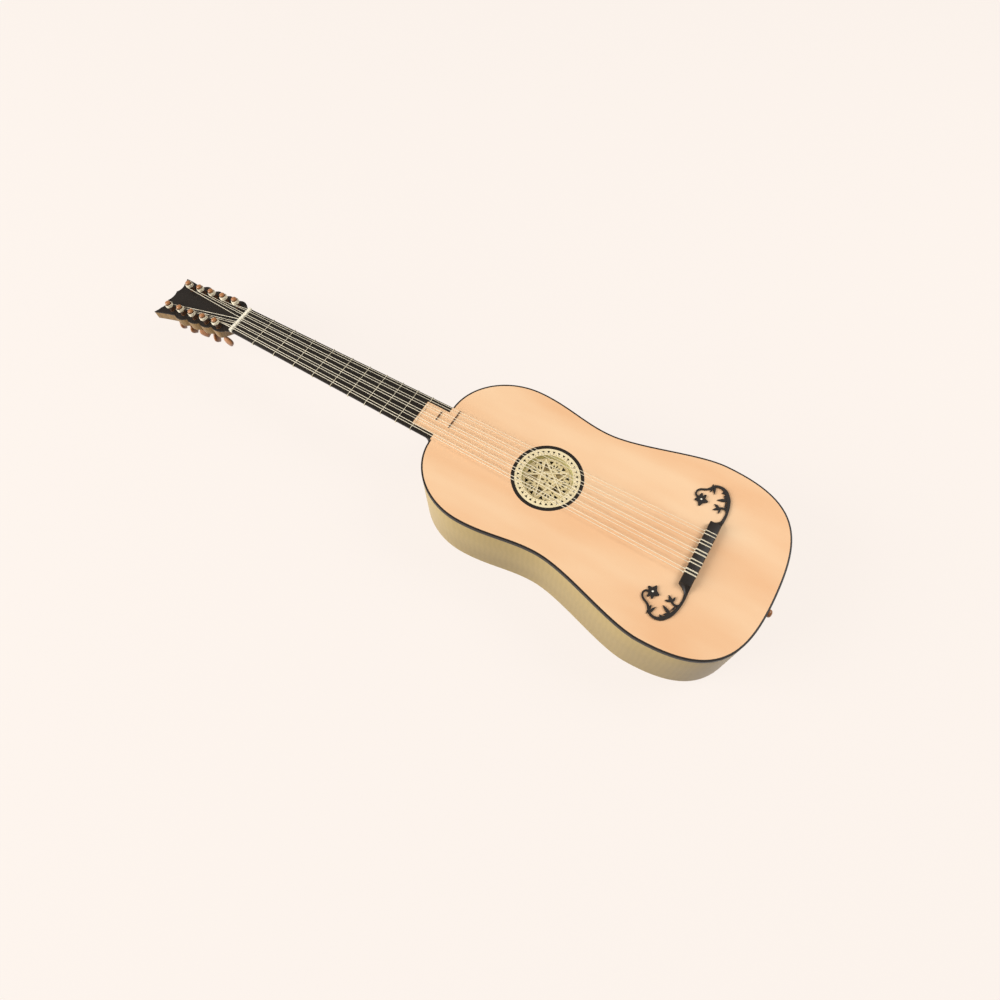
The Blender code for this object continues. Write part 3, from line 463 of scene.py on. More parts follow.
def combined(first: BMesh, others: Sequence[BMesh], way: str) -> BMesh:
    """One closed mesh from a shape and others that are joined to it or cut from it.

    Args:
        first: The shape that is kept.
        others: The shapes that join or cut it. All the meshes are used up.
        way: UNION or DIFFERENCE.

    Returns:
        The new mesh.
    """
    helpers = []
    for index, bm in enumerate([first, *others]):
        bmesh.ops.recalc_face_normals(bm, faces=bm.faces)
        helpers.append(add_mesh(f"shape_{index}", bm))
    for helper in helpers[1:]:
        modifier = helpers[0].modifiers.new(helper.name, "BOOLEAN")
        modifier.operation = way
        modifier.object = helper
    graph = bpy.context.evaluated_depsgraph_get()
    result = bmesh.new()
    result.from_mesh(helpers[0].evaluated_get(graph).to_mesh())
    for helper in helpers:
        bpy.data.objects.remove(helper, do_unlink=True)
    bmesh.ops.remove_doubles(result, verts=result.verts, dist=MM / 1000)
    return result


# Finishes


class Slot(Enum):
    """Kinds of material that the finishes belong to."""

    SPRUCE = "spruce"
    MAPLE = "maple"
    EBONY = "ebony"
    WALNUT = "walnut"
    LIME = "lime"
    PLUM = "plum"
    BONE = "bone"
    PARCHMENT = "parchment"
    GUT = "gut"


class Grain(Enum):
    """The way that the grain of a piece runs."""

    ALONG_X = (1, 0, 2)
    ALONG_Y = (0, 1, 2)
    ALONG_Z = (0, 2, 1)
    ALONG_RIB = ()


def linear(code: str) -> tuple[float, float, float, float]:
    """The linear colour of an sRGB hex value.

    Args:
        code: Six hex digits.

    Returns:
        Red, green, blue and an alpha of 1.
    """
    parts = [int(code[at:at + 2], 16) / 255 for at in (0, 2, 4)]
    red, green, blue = (
        part / 12.92 if part <= 0.04045 else ((part + 0.055) / 1.055) ** 2.4 for part in parts
    )
    return red, green, blue, 1.0


def add_node(
    tree: NodeTree,
    kind: str,
    values: dict[str | int, SocketValue] | None = None,
    out: str | int = 0,
    **settings: object,
) -> NodeSocket:
    """Adds a shader node with its settings and links.

    Args:
        tree: The material's tree.
        kind: Type of the node.
        values: What each input gets, by its name or number: a value, or a socket that is linked to it.
        out: The output that is wanted, by its name or number.
        **settings: The node's own settings.

    Returns:
        That output.
    """
    node = tree.nodes.new(kind)
    for name, value in settings.items():
        setattr(node, name, value)
    for key, value in (values or {}).items():
        if isinstance(value, NodeSocket):
            tree.links.new(value, node.inputs[key])
        else:
            node.inputs[key].default_value = value
    return node.outputs[out]


def new_tree(name: str) -> tuple[Material, NodeTree]:
    """Makes a material whose tree is empty but for its output.

    Args:
        name: Its name.

    Returns:
        The material and its tree.
    """
    material = bpy.data.materials.new(name)
    material.use_nodes = True
    tree = material.node_tree
    tree.nodes.remove(tree.nodes["Principled BSDF"])
    return material, tree


@dataclass(frozen=True)
class Finish:
    """A material drawn between a pale and a dark colour."""

    gloss_spread: ClassVar[float] = 0.08
    relief_mm: ClassVar[float] = 0.2

    name: str
    slot: Slot
    pale: str
    dark: str
    roughness: float = field(default=0.45, kw_only=True)
    specular: float = field(default=0.5, kw_only=True)
    relief: float = field(default=0.15, kw_only=True)

    def shade(
        self,
        tree: NodeTree,
        tone: NodeSocket,
        texture: NodeSocket,
        height: NodeSocket,
        extra: dict[str, float],
    ) -> None:
        """Adds the shader, whose colour, roughness and relief follow patterns.

        Args:
            tree: The material's tree.
            tone: How far the pale colour is drawn towards the dark one.
            texture: The pattern of the roughness.
            height: The pattern of the relief.
            extra: More values of the shader, by the names of its inputs.
        """
        tones = {0: tone, 6: linear(self.pale), 7: linear(self.dark)}
        colour = add_node(tree, "ShaderNodeMix", tones, 2, data_type="RGBA")
        low, high = self.roughness - self.gloss_spread, self.roughness + self.gloss_spread
        rough = add_node(tree, "ShaderNodeMapRange", {0: texture, 3: low, 4: high})
        bumps = {"Strength": self.relief, "Distance": self.relief_mm * MM, "Height": height}
        bump = add_node(tree, "ShaderNodeBump", bumps)
        values = {
            "Base Color": colour, "Roughness": rough, "Normal": bump, "Specular IOR Level": self.specular,
        }
        shader = add_node(tree, "ShaderNodeBsdfPrincipled", values | extra)
        tree.links.new(shader, tree.nodes["Material Output"].inputs["Surface"])


@dataclass(frozen=True)
class Timber(Finish):
    """A planed wood: grain lines, fine fibres, broad clouds of tone and an optional flame.

    The shares say how far each pattern draws the pale colour towards the dark one.
    """

    coat_roughness: ClassVar[float] = 0.12
    line_sharpness: ClassVar[float] = 2.5
    line_relief: ClassVar[float] = 0.4
    cloud_stretch: ClassVar[float] = 0.25
    cloud_detail: ClassVar[float] = 2.0
    fibre_stretch: ClassVar[float] = 0.03
    fibre_detail: ClassVar[float] = 3.0
    flame_settings: ClassVar[dict[str, float]] = {"Distortion": 6.0, "Detail": 2.0, "Detail Scale": 0.6}

    line_mm: float
    line_share: float
    fibre_mm: float = 0.5
    fibre_share: float = 0.2
    cloud_mm: float = 60.0
    cloud_share: float = 0.2
    flame_mm: float = 9.0
    flame_share: float = 0.0
    wander_mm: float = 3.0
    coat: float = 0.0
    matched: bool = False
    grain: Grain = Grain.ALONG_Y

    def running(self, grain: Grain) -> "Timber":
        """The same wood with its grain running another way."""
        return replace(self, grain=grain)

    @lru_cache(maxsize=None)
    def material(self) -> Material:
        """Draws the wood, once for each way that its grain runs.

        Returns:
            The material.
        """
        material, tree = new_tree(f"{self.name}_{self.grain.name.lower()}")
        across, lengthways, depth = self.directions(tree)
        plain = add_node(tree, "ShaderNodeCombineXYZ", {0: across, 1: lengthways, 2: depth})
        cloud = self.streaks(tree, plain, self.cloud_mm, self.cloud_stretch, self.cloud_detail)
        wander = {0: cloud, 1: self.wander_mm * MM, 2: across}
        drift = add_node(tree, "ShaderNodeMath", wander, operation="MULTIPLY_ADD")
        wandering = add_node(tree, "ShaderNodeCombineXYZ", {0: drift, 1: lengthways, 2: depth})
        wave = {"Vector": wandering, "Scale": WAVE_PERIOD / (self.line_mm * MM)}
        lines = add_node(tree, "ShaderNodeTexWave", wave, "Fac", wave_profile="SAW")
        lines = add_node(tree, "ShaderNodeMath", {0: lines, 1: self.line_sharpness}, operation="POWER")
        fibre = self.streaks(tree, plain, self.fibre_mm, self.fibre_stretch, self.fibre_detail)
        flame = self.flame(tree, plain)
        shares = (
            (lines, self.line_share), (fibre, self.fibre_share), (cloud, self.cloud_share),
            (flame, self.flame_share),
        )
        tone = 0.0
        for pattern, share in shares:
            if share:
                parts = {0: pattern, 1: share, 2: tone}
                tone = add_node(tree, "ShaderNodeMath", parts, operation="MULTIPLY_ADD", use_clamp=True)
        rise = {0: lines, 1: self.line_relief, 2: fibre}
        height = add_node(tree, "ShaderNodeMath", rise, operation="MULTIPLY_ADD")
        extra = {"Coat Weight": self.coat, "Coat Roughness": self.coat_roughness}
        self.shade(tree, tone, fibre, height, extra)
        return material

    def directions(self, tree: NodeTree) -> tuple[NodeSocket, ...]:
        """Places across the grain, along it and through the board.

        Args:
            tree: The material's tree.

        Returns:
            The three sockets.
        """
        place = add_node(tree, "ShaderNodeTexCoord", out="Object")
        parts = add_node(tree, "ShaderNodeSeparateXYZ", {0: place}).node.outputs
        if self.grain is Grain.ALONG_RIB:
            travelled = add_node(tree, "ShaderNodeAttribute", out="Fac", attribute_name=RUN)
            return parts[2], travelled, parts[2]
        across, lengthways, depth = (parts[index] for index in self.grain.value)
        if self.matched:
            across = add_node(tree, "ShaderNodeMath", {0: across}, operation="ABSOLUTE")
        return across, lengthways, depth

    def streaks(
        self, tree: NodeTree, place: NodeSocket, size_mm: float, stretch: float, detail: float
    ) -> NodeSocket:
        """Uneven streaks drawn out along the grain.

        Args:
            tree: The material's tree.
            place: Where on the wood.
            size_mm: Width of a streak across the grain.
            stretch: Its frequency along the grain, as a share of that across it.
            detail: How many finer layers it has.

        Returns:
            The streaks, from 0 to 1.
        """
        drawn = add_node(tree, "ShaderNodeMapping", {"Vector": place, "Scale": (1.0, stretch, 1.0)})
        values = {"Vector": drawn, "Scale": 1 / (size_mm * MM), "Detail": detail}
        return add_node(tree, "ShaderNodeTexNoise", values, "Fac")

    def flame(self, tree: NodeTree, place: NodeSocket) -> NodeSocket | float:
        """Soft bands across the grain, as light makes on curly maple.

        Args:
            tree: The material's tree.
            place: Where on the wood.

        Returns:
            The bands, from 0 to 1.
        """
        if not self.flame_share:
            return 0.0
        values = {"Vector": place, "Scale": WAVE_PERIOD / (self.flame_mm * MM)}
        return add_node(
            tree, "ShaderNodeTexWave", values | self.flame_settings, "Fac", bands_direction="Y"
        )


@dataclass(frozen=True)
class Mottled(Finish):
    """A material without grain: bone, parchment or gut, with blotches and fine specks."""

    gloss_spread: ClassVar[float] = 0.07
    relief_mm: ClassVar[float] = 0.1
    detail: ClassVar[float] = 3.0

    blotch_mm: float
    blotch_share: float
    speck_mm: float
    speck_share: float
    clear: float = 0.0

    @lru_cache(maxsize=None)
    def material(self) -> Material:
        """Draws the material, once.

        Returns:
            The material.
        """
        material, tree = new_tree(self.name)
        place = add_node(tree, "ShaderNodeTexCoord", out="Object")
        tone = 0.0
        for size_mm, share in ((self.blotch_mm, self.blotch_share), (self.speck_mm, self.speck_share)):
            values = {"Vector": place, "Scale": 1 / (size_mm * MM), "Detail": self.detail}
            noise = add_node(tree, "ShaderNodeTexNoise", values, "Fac")
            parts = {0: noise, 1: share, 2: tone}
            tone = add_node(tree, "ShaderNodeMath", parts, operation="MULTIPLY_ADD", use_clamp=True)
        self.shade(tree, tone, noise, noise, {"Transmission Weight": self.clear})
        return material


# Quarter-sawn spruce under thin oil varnish: close straight lines on warm pale orange
SOUNDBOARD_SPRUCE = Timber(
    "quarter_sawn_spruce", Slot.SPRUCE, "FBE1BB", "E19C62", line_mm=1.5, line_share=0.14, fibre_mm=0.35,
    fibre_share=0.10, cloud_mm=55.0, cloud_share=0.80, wander_mm=2.0, roughness=0.52, specular=0.2,
    relief=0.06,
)
# Planed spruce without varnish, inside the body: paler and duller
BAR_SPRUCE = Timber(
    "planed_spruce", Slot.SPRUCE, "E9CBA0", "C09A68", line_mm=1.6, line_share=0.4, roughness=0.65,
    grain=Grain.ALONG_X,
)
# Bent maple under satin varnish: khaki, with a faint flame across the grain
RIB_MAPLE = Timber(
    "bent_maple", Slot.MAPLE, "D5B977", "84663A", line_mm=4.0, line_share=0.06, fibre_share=0.14,
    cloud_share=0.30, flame_mm=7.0, flame_share=0.06, roughness=0.34, specular=0.15, relief=0.05,
    grain=Grain.ALONG_RIB,
)
# The same maple, quarter-sawn and matched down the middle of the back
BACK_MAPLE = Timber(
    "matched_maple", Slot.MAPLE, "D5B977", "84663A", line_mm=3.0, line_share=0.10, fibre_share=0.14,
    cloud_share=0.25, flame_mm=9.0, flame_share=0.12, roughness=0.34, specular=0.25, relief=0.05,
    matched=True,
)
# Ebony, oiled and rubbed: near black, with fine brown pores and a dull gloss
EBONY = Timber(
    "rubbed_ebony", Slot.EBONY, "1B1713", "2E2620", line_mm=1.1, line_share=0.35, fibre_mm=0.4,
    fibre_share=0.45, cloud_share=0.2, roughness=0.42, specular=0.3, relief=0.12,
)
# Olive-brown hardwood of the head, oiled: plain grain, darker streaks
HEAD_WALNUT = Timber(
    "oiled_walnut", Slot.WALNUT, "AE8A52", "6A4E28", line_mm=2.2, line_share=0.35, fibre_share=0.35,
    cloud_share=0.3, roughness=0.45, relief=0.12,
)
# Raw lime wood, inside the body: even and pale
LIME = Timber(
    "raw_lime", Slot.LIME, "DCC39A", "B99B6C", line_mm=3.0, line_share=0.15, roughness=0.7,
)
# Turned and polished plum: red-brown, with a clear gloss
PLUM = Timber(
    "polished_plum", Slot.PLUM, "CC9056", "84482A", line_mm=1.6, line_share=0.35, fibre_mm=0.4,
    fibre_share=0.35, cloud_mm=9.0, cloud_share=0.45, roughness=0.32, coat=0.3, relief=0.08,
)
# Plum stained dark: the short frets. On the peg shafts under the strings the same colour is painted shade
# from the coils
DARK_PLUM_AND_SHAFT_SHADE = Timber(
    "stained_plum", Slot.PLUM, "5A3A22", "2E1B10", line_mm=1.2, line_share=0.4, fibre_share=0.4,
    roughness=0.4,
)
# Polished bone: warm white and faintly blotched
BONE = Mottled("polished_bone", Slot.BONE, "F6F0DF", "DCCFAF", 6.0, 0.35, 0.6, 0.2, roughness=0.3, relief=0.1)
# Cut parchment: cream, cloudy and dull
PARCHMENT = Mottled(
    "cut_parchment", Slot.PARCHMENT, "FBECC4", "C6AE78", 9.0, 0.35, 0.8, 0.35, roughness=0.6, specular=0.3,
    relief=0.2,
)
# The same parchment, duller and darker: painted shade on the sunk field
FIELD_PARCHMENT_PAINTED_SHADE = Mottled(
    "field_parchment_painted_shade", Slot.PARCHMENT, "F2E1B2", "B09A68", 6.0, 0.40, 0.8, 0.40, roughness=0.65, specular=0.3,
    relief=0.2,
)
# The same parchment, browner: painted shade on the lower plate of the rose
STAR_PARCHMENT_PAINTED_SHADE = Mottled(
    "star_parchment_painted_shade", Slot.PARCHMENT, "BCA674", "83704A", 7.0, 0.35, 0.8, 0.35, roughness=0.7, specular=0.3,
    relief=0.2,
)
# Parchment in the shade of the rim, with a green cast: the wall of the cup
GREEN_PARCHMENT = Mottled(
    "greenish_parchment", Slot.PARCHMENT, "CDC48A", "958C56", 4.0, 0.3, 0.9, 0.5, roughness=0.7, specular=0.3,
    relief=0.2,
)
# Parchment that lines the bowl, painted dark for the shade inside the body, so that the fretwork stands out
SHADED_PARCHMENT = Mottled(
    "bowl_parchment_painted_shade", Slot.PARCHMENT, "54462A", "281E10", 6.0, 0.3, 0.8, 0.3, roughness=0.75, specular=0.3,
    relief=0.1,
)
# Gut: pale straw, a little clear, smooth and slightly glossy
GUT = Mottled(
    "polished_gut", Slot.GUT, "FFF5DC", "ECDAB2", 5.0, 0.3, 0.7, 0.2, clear=0.2, roughness=0.28,
    relief=0.1,
)


# The sound box


@dataclass(frozen=True)
class BodyOutline:
    """The treble half of the body's outline as four curves, from the neck to the tail."""

    tail_at: float = -0.100
    upper: Pair = (0.1028, 0.254)
    waist: Pair = (0.0919, 0.156)
    lower: Pair = (0.1235, 0.011)
    shoulder_handle: float = 0.042
    upper_handles: Pair = (0.048, 0.039)
    waist_handles: Pair = (0.0335, 0.042)
    lower_handles: Pair = (0.039, 0.0935)
    tail_handle: float = 0.081
    steps: int = 26

    def curves(self) -> tuple[tuple[Vector, ...], ...]:
        """Works out the curves of the treble side.

        Returns:
            The four curves from the neck to the tail, each as its ends and handles.
        """
        ends = ((PLAN.half_join, PLAN.neck_at), self.upper, self.waist, self.lower, (0.0, self.tail_at))
        neck, upper, waist, lower, tail = placed(ends)
        out, up = Vector((1.0, 0.0)), Vector((0.0, 1.0))
        (upper_a, upper_b), (waist_a, waist_b), (lower_a, lower_b) = (
            self.upper_handles, self.waist_handles, self.lower_handles,
        )
        return (
            (neck, neck + out * self.shoulder_handle, upper + up * upper_a, upper),
            (upper, upper - up * upper_b, waist + up * waist_a, waist),
            (waist, waist - up * waist_b, lower + up * lower_a, lower),
            (lower, lower - up * lower_b, tail + out * self.tail_handle, tail),
        )

    def line(self, inset: float, start_x: float | None = None, end_x: float = 0.0) -> Outline:
        """Points of the treble outline moved inwards.

        Args:
            inset: How far inwards the line is moved.
            start_x: X at which the line starts near the neck, where it runs straight across.
            end_x: X at which it ends at the tail.

        Returns:
            The points, from the neck to the tail.
        """
        points = []
        for handles in self.curves():
            for step in range(1 if points else 0, self.steps + 1):
                t = step / self.steps
                way = curve_way(handles, t)
                points.append(curve_point(handles, t) - Vector((-way.y, way.x)) * inset)
        if start_x is not None:
            points = [point for point in points if point.x > start_x or point.y < along(self.upper[1])]
            start_y = points[0].y if start_x > PLAN.half_join else along(PLAN.neck_at) - inset
            points.insert(0, Vector((start_x, start_y)))
        return [point for point in points[:-1] if point.x > end_x] + [Vector((end_x, points[-1].y))]


OUTLINE = BodyOutline()


@dataclass
class SoundBox:
    """Soundboard, back, ribs and binding."""

    back_thickness: float = 0.0025
    back_round: float = 0.0007
    rib_thickness: float = 0.0022
    rib_round: float = 0.0003
    binding_width: float = 0.0022
    binding_height: float = 0.0060
    binding_round: float = 0.0005
    joint: float = 0.00003
    rib_root: float = 0.0115
    ledge_depth: float = 0.0016
    hole_radius: float = 0.0375
    circle_steps: int = 96

    def build(self) -> None:
        """Builds and dresses every piece of the sound box."""
        self.add_soundboard()
        self.add_back()
        self.add_strips()

    def add_soundboard(self) -> None:
        """The plate with its tongue, its soundhole and the ledge of the ring."""
        root = (
            (PLAN.tongue_half, PLAN.tongue_at), (PLAN.tongue_half, PLAN.neck_at),
            (PLAN.half_join, PLAN.neck_at),
        )
        half = placed(root) + OUTLINE.line(self.binding_width + self.joint, PLAN.half_join)
        bm = bmesh.new()
        centre = Vector((0.0, ROSE_CENTRE.y))
        hole = circle(self.hole_radius, self.circle_steps, centre)
        add_plate(bm, half + mirrored(half)[1:], TOP - PLAN.board_thickness, TOP, [hole])
        ledge = bmesh.new()
        recess = circle(PLAN.ring_outer + self.joint, self.circle_steps, centre)
        add_plate(ledge, recess, TOP - self.ledge_depth, TOP + self.ledge_depth)
        board = combined(bm, [ledge], "DIFFERENCE")
        make_piece("spruce_soundboard", board, [SOUNDBOARD_SPRUCE], ["soundboard"])

    def add_back(self) -> None:
        """The flat back, with its outer edges rounded over."""
        line = OUTLINE.line(0.0, 0.0)
        bm = bmesh.new()
        add_plate(bm, line[1:] + mirrored(line[1:])[1:], 0.0, self.back_thickness)
        soften(bm, self.back_round, 3, at_height(0.0))
        make_piece("maple_back", bm, [BACK_MAPLE], ["back"])

    def add_strips(self) -> None:
        """A bent rib and its binding on each side."""
        seat = TOP - self.binding_height
        back, top = at_height(self.back_thickness), at_height(TOP)
        for side in ("treble", "bass"):
            bass = side == "bass"
            rib = self.strip(self.rib_thickness, self.back_thickness, seat, self.rib_root, bass)
            soften(rib, self.rib_round, 2, lambda edge: back(edge) and facing_out(edge))
            make_piece(f"maple_rib_{side}", rib, [RIB_MAPLE], [f"rib_{side}"])
            binding = self.strip(self.binding_width, seat, TOP, PLAN.half_join, bass)
            soften(binding, self.binding_round, 4, lambda edge: top(edge) and facing_out(edge))
            wood = EBONY.running(Grain.ALONG_RIB)
            make_piece(f"ebony_binding_{side}", binding, [wood], [f"binding_{side}"])

    def strip(self, thickness: float, low: float, high: float, start_x: float, bass: bool) -> BMesh:
        """A strip bent round one side, which knows how far along the side each of its points is.

        Args:
            thickness: Thickness of the strip.
            low: Z of its lower edge.
            high: Z of its upper edge.
            start_x: X at which it starts beside the neck.
            bass: Whether it is the strip of the bass side.

        Returns:
            The mesh.
        """
        bm = bmesh.new()
        run = bm.verts.layers.float.new(RUN)
        corners = []
        for inset in (0.0, thickness):
            line = OUTLINE.line(inset, start_x, MM / 20)
            travelled, chain = 0.0, []
            for index, point in enumerate(line):
                travelled += (point - line[index - 1]).length if index else 0.0
                vert = bm.verts.new((-point.x if bass else point.x, point.y, low))
                vert[run] = travelled
                chain.append(vert)
            corners += chain if inset == 0.0 else chain[::-1]
        edges = [bm.edges.new(pair) for pair in zip(corners, corners[1:] + corners[:1])]
        faces = bmesh.ops.contextual_create(bm, geom=edges)["faces"]
        thicken(bm, faces, high - low)
        return bm


# The rose


@dataclass
class Rose:
    """Parchment rose: a pierced rim, a sunk star and a plate below it, in a cup that closes the well."""

    radius: float = 0.0398
    ring_inner: float = 0.0401
    thickness: float = 0.0008
    ring_thickness: float = 0.0012
    ring_round: float = 0.00025
    points: int = 5
    turn: float = 32.0
    rim_inner: float = 0.0312
    rim_triangles: int = 34
    rim_at: float = 0.0357
    rim_size: float = 0.0023
    dots: int = 56
    dot_at: float = 0.0328
    dot_radius: float = 0.00055
    dot_steps: int = 6
    field_depth: float = 0.0070
    field_radius: float = 0.0302
    cell_tip: float = 0.0246
    cell_root: float = 0.0135
    cell_spread: float = 25.0
    corner_at: float = 0.0249
    corner_turn: float = 15.5
    corner_size: float = 0.0034
    paired_slits: tuple[Slit, ...] = (
        (0.0176, 6, 0.0234, 11, 0.0020), (0.0162, 14, 0.0204, 20, 0.0020), (0.0262, 3, 0.0274, 11, 0.0013),
        (0.0104, 8, 0.0148, 6, 0.0012),
    )
    middle_slits: tuple[Slit, ...] = ((0.0180, 0, 0.0248, 0, 0.0018), (0.0102, 0, 0.0152, 0, 0.0013))
    tip_slit: Slit = (0.0028, 0, 0.0086, 0, 0.0030)
    tip_hole_at: float = 0.0281
    tip_hole_size: float = 0.0007
    hub_radius: float = 0.0012
    hub_steps: int = 10
    band_tip: float = 0.0284
    band_width: float = 0.0019
    band_height: float = 0.0008
    circlets: Pairs = ((0.0292, 0.0010), (0.0092, 0.0008))
    star_gap: float = 0.0024
    star_tip: float = 0.0288
    star_waist: float = 0.0140
    fan_slit: Slit = (0.0122, 15, 0.0182, 9, 0.0022)
    cup_floor: float = 0.0250
    cup_depth: float = 0.0050
    cup_wall: float = 0.0006
    steps: int = 96

    def build(self) -> None:
        """Builds and dresses the ring and every tier."""
        self.add_ring()
        self.add_rim()
        self.add_field()
        self.add_star()
        self.add_cup()

    def seat(self, name: str, bm: BMesh, finishes: Sequence[Finish], nodes: Sequence[str] = ()) -> None:
        """Puts a mesh made round the origin in the soundhole, and makes it a piece.

        Args:
            name: Name of the piece.
            bm: Its mesh.
            finishes: Its finishes.
            nodes: The CAD nodes that it stands for.
        """
        bmesh.ops.translate(bm, vec=(0.0, ROSE_CENTRE.y, 0.0), verts=bm.verts)
        make_piece(name, bm, finishes, nodes)

    def add_ring(self) -> None:
        """The ebony ring, its upper edges eased."""
        bm = bmesh.new()
        inner, outer, low = self.ring_inner, PLAN.ring_outer, TOP - self.ring_thickness
        add_turning(bm, ((outer, low), (outer, TOP), (inner, TOP), (inner, low)), self.steps)
        soften(bm, self.ring_round, 2, at_height(TOP))
        self.seat("ebony_ring", bm, [EBONY], ["soundhole_ring"])

    def tips(self) -> list[float]:
        """Angles of the star's points."""
        return [self.turn + 360 * index / self.points for index in range(self.points)]

    def triangle(self, radius: float, degrees: float, size: float, turned: float = 0.0) -> Outline:
        """A small triangle whose corner points outwards, or is turned from that."""
        return [polar(radius, degrees) + polar(size, degrees + turned + 120 * corner) for corner in range(3)]

    def leaf(self, middle: float, hand: int, slit: Slit, steps: int = 6) -> Outline:
        """A slit shaped like a leaf.

        Args:
            middle: The angle that its own angles are counted from.
            hand: 1 where they are counted anticlockwise and -1 where they are counted clockwise.
            slit: Its ends and its width.
            steps: Steps along each side.

        Returns:
            Its outline.
        """
        near, near_turn, far, far_turn, width = slit
        start, end = polar(near, middle + hand * near_turn), polar(far, middle + hand * far_turn)
        way = (end - start).normalized()
        side = Vector((-way.y, way.x)) * width / 2
        swell = [math.sin(math.pi * step / steps) for step in range(steps + 1)]
        left = [between(start, end, step / steps) + side * swell[step] for step in range(steps)]
        right = [between(start, end, step / steps) - side * swell[step] for step in range(steps, 0, -1)]
        return left + right

    def pierced(self, outline: Outline, high: float, holes: Sequence[Outline]) -> BMesh:
        """A plate of parchment with holes cut out of it.

        Args:
            outline: The plate's edge.
            high: Z of its face.
            holes: Outlines of the holes, clear of each other.

        Returns:
            The mesh.
        """
        plate, cutters = bmesh.new(), bmesh.new()
        add_plate(plate, outline, high - self.thickness, high)
        for hole in holes:
            add_plate(cutters, hole, high - 2 * self.thickness, high + self.thickness)
        return combined(plate, [cutters], "DIFFERENCE")

    def add_rim(self) -> None:
        """The rim: triangles between two plain bands, and a row of dots at its inner edge."""
        holes = [circle(self.rim_inner, self.steps)]
        for index in range(self.rim_triangles):
            turn = 360 * (index + 0.5) / self.rim_triangles
            holes.append(self.triangle(self.rim_at, turn, self.rim_size, 180.0))
        for index in range(self.dots):
            turn = 360 * (index + 0.5) / self.dots
            holes.append(circle(self.dot_radius, self.dot_steps, polar(self.dot_at, turn)))
        bm = self.pierced(circle(self.radius, self.steps), TOP, holes)
        self.seat("parchment_rim", bm, [PARCHMENT], ["rose_lattice"])

    def field_holes(self) -> list[Outline]:
        """Works out everything cut out of the sunk field.

        Returns:
            Outlines of the cells in the star's points and of the holes and slits round them.
        """
        holes = []
        for tip in self.tips():
            root = (tip + self.cell_spread, tip - self.cell_spread)
            holes.append([polar(self.cell_tip, tip), *(polar(self.cell_root, angle) for angle in root)])
            middle = tip + 180 / self.points
            for hand in (-1, 1):
                turn = tip + hand * self.corner_turn
                holes.append(self.triangle(self.corner_at, turn, self.corner_size, 180.0))
                holes += [self.leaf(middle, hand, slit) for slit in self.paired_slits]
            holes += [self.leaf(middle, 1, slit) for slit in self.middle_slits]
            holes.append(self.triangle(self.tip_hole_at, tip, self.tip_hole_size))
            holes.append(self.leaf(tip, 1, self.tip_slit))
        holes.append(circle(self.hub_radius, self.hub_steps))
        return holes

    def add_field(self) -> None:
        """The sunk field, with the star's bands and two rings standing a little proud."""
        high = TOP - self.field_depth
        bm = self.pierced(circle(self.field_radius, self.steps), high, self.field_holes())
        tips = self.tips()
        for index, tip in enumerate(tips):
            start, end = polar(self.band_tip, tip), polar(self.band_tip, tips[(index + 2) % self.points])
            way = (end - start).normalized()
            side = Vector((-way.y, way.x)) * self.band_width / 2
            lift = self.band_height + index * MM / 50
            add_plate(bm, [start + side, start - side, end - side, end + side], high - lift, high + lift)
        for radius, width in self.circlets:
            half, rise = width / 2, self.band_height / 2
            profile = [
                (radius + half, high - rise), (radius + half, high + rise), (radius - half, high + rise),
                (radius - half, high - rise),
            ]
            add_turning(bm, profile, self.steps)
        # The raised bands and rings get the plain parchment; the field below them gets the parchment painted
        # with shade
        for face in bm.faces:
            face.material_index = int(face.calc_center_median().z > high + MM / 10)
        self.seat("parchment_star_field", bm, [FIELD_PARCHMENT_PAINTED_SHADE, PARCHMENT])

    def add_star(self) -> None:
        """The star-shaped plate that shows through the cells, with a fan of slits in its open points."""
        high = TOP - self.field_depth - self.star_gap
        outline, slits = [], []
        for tip in self.tips():
            outline += [polar(self.star_tip, tip), polar(self.star_waist, tip + 180 / self.points)]
        for tip in self.tips()[2:4]:
            slits += [self.leaf(tip, hand, self.fan_slit) for hand in (-1, 0, 1)]
        # The star plate's browner parchment is painted shade for its depth below the field
        self.seat("parchment_star", self.pierced(outline, high, slits), [STAR_PARCHMENT_PAINTED_SHADE])

    def add_cup(self) -> None:
        """The cup: a wall down to the field and a plain bowl below it, both painted darker for shade."""
        top, middle = TOP - self.thickness, TOP - self.field_depth
        floor = middle - self.cup_depth
        wall = self.cup_wall
        bm = bmesh.new()
        profile = (
            (self.rim_inner, top), (self.rim_inner + wall, top), (self.field_radius + wall, middle),
            (self.cup_floor + wall, floor - wall), (0.0, floor - wall), (0.0, floor), (self.cup_floor, floor),
            (self.field_radius, middle - 2 * wall), (self.field_radius, middle), (self.rim_inner, top),
        )
        add_turning(bm, profile, self.steps)
        # The wall gets the parchment painted with the rim's shade; the bowl gets the parchment painted dark
        # for the shade inside the body
        for face in bm.faces:
            face.material_index = int(face.calc_center_median().z < middle)
        self.seat("parchment_cup", bm, [GREEN_PARCHMENT, SHADED_PARCHMENT], ["rose_well"])


# Neck, fingerboard, nut and frets


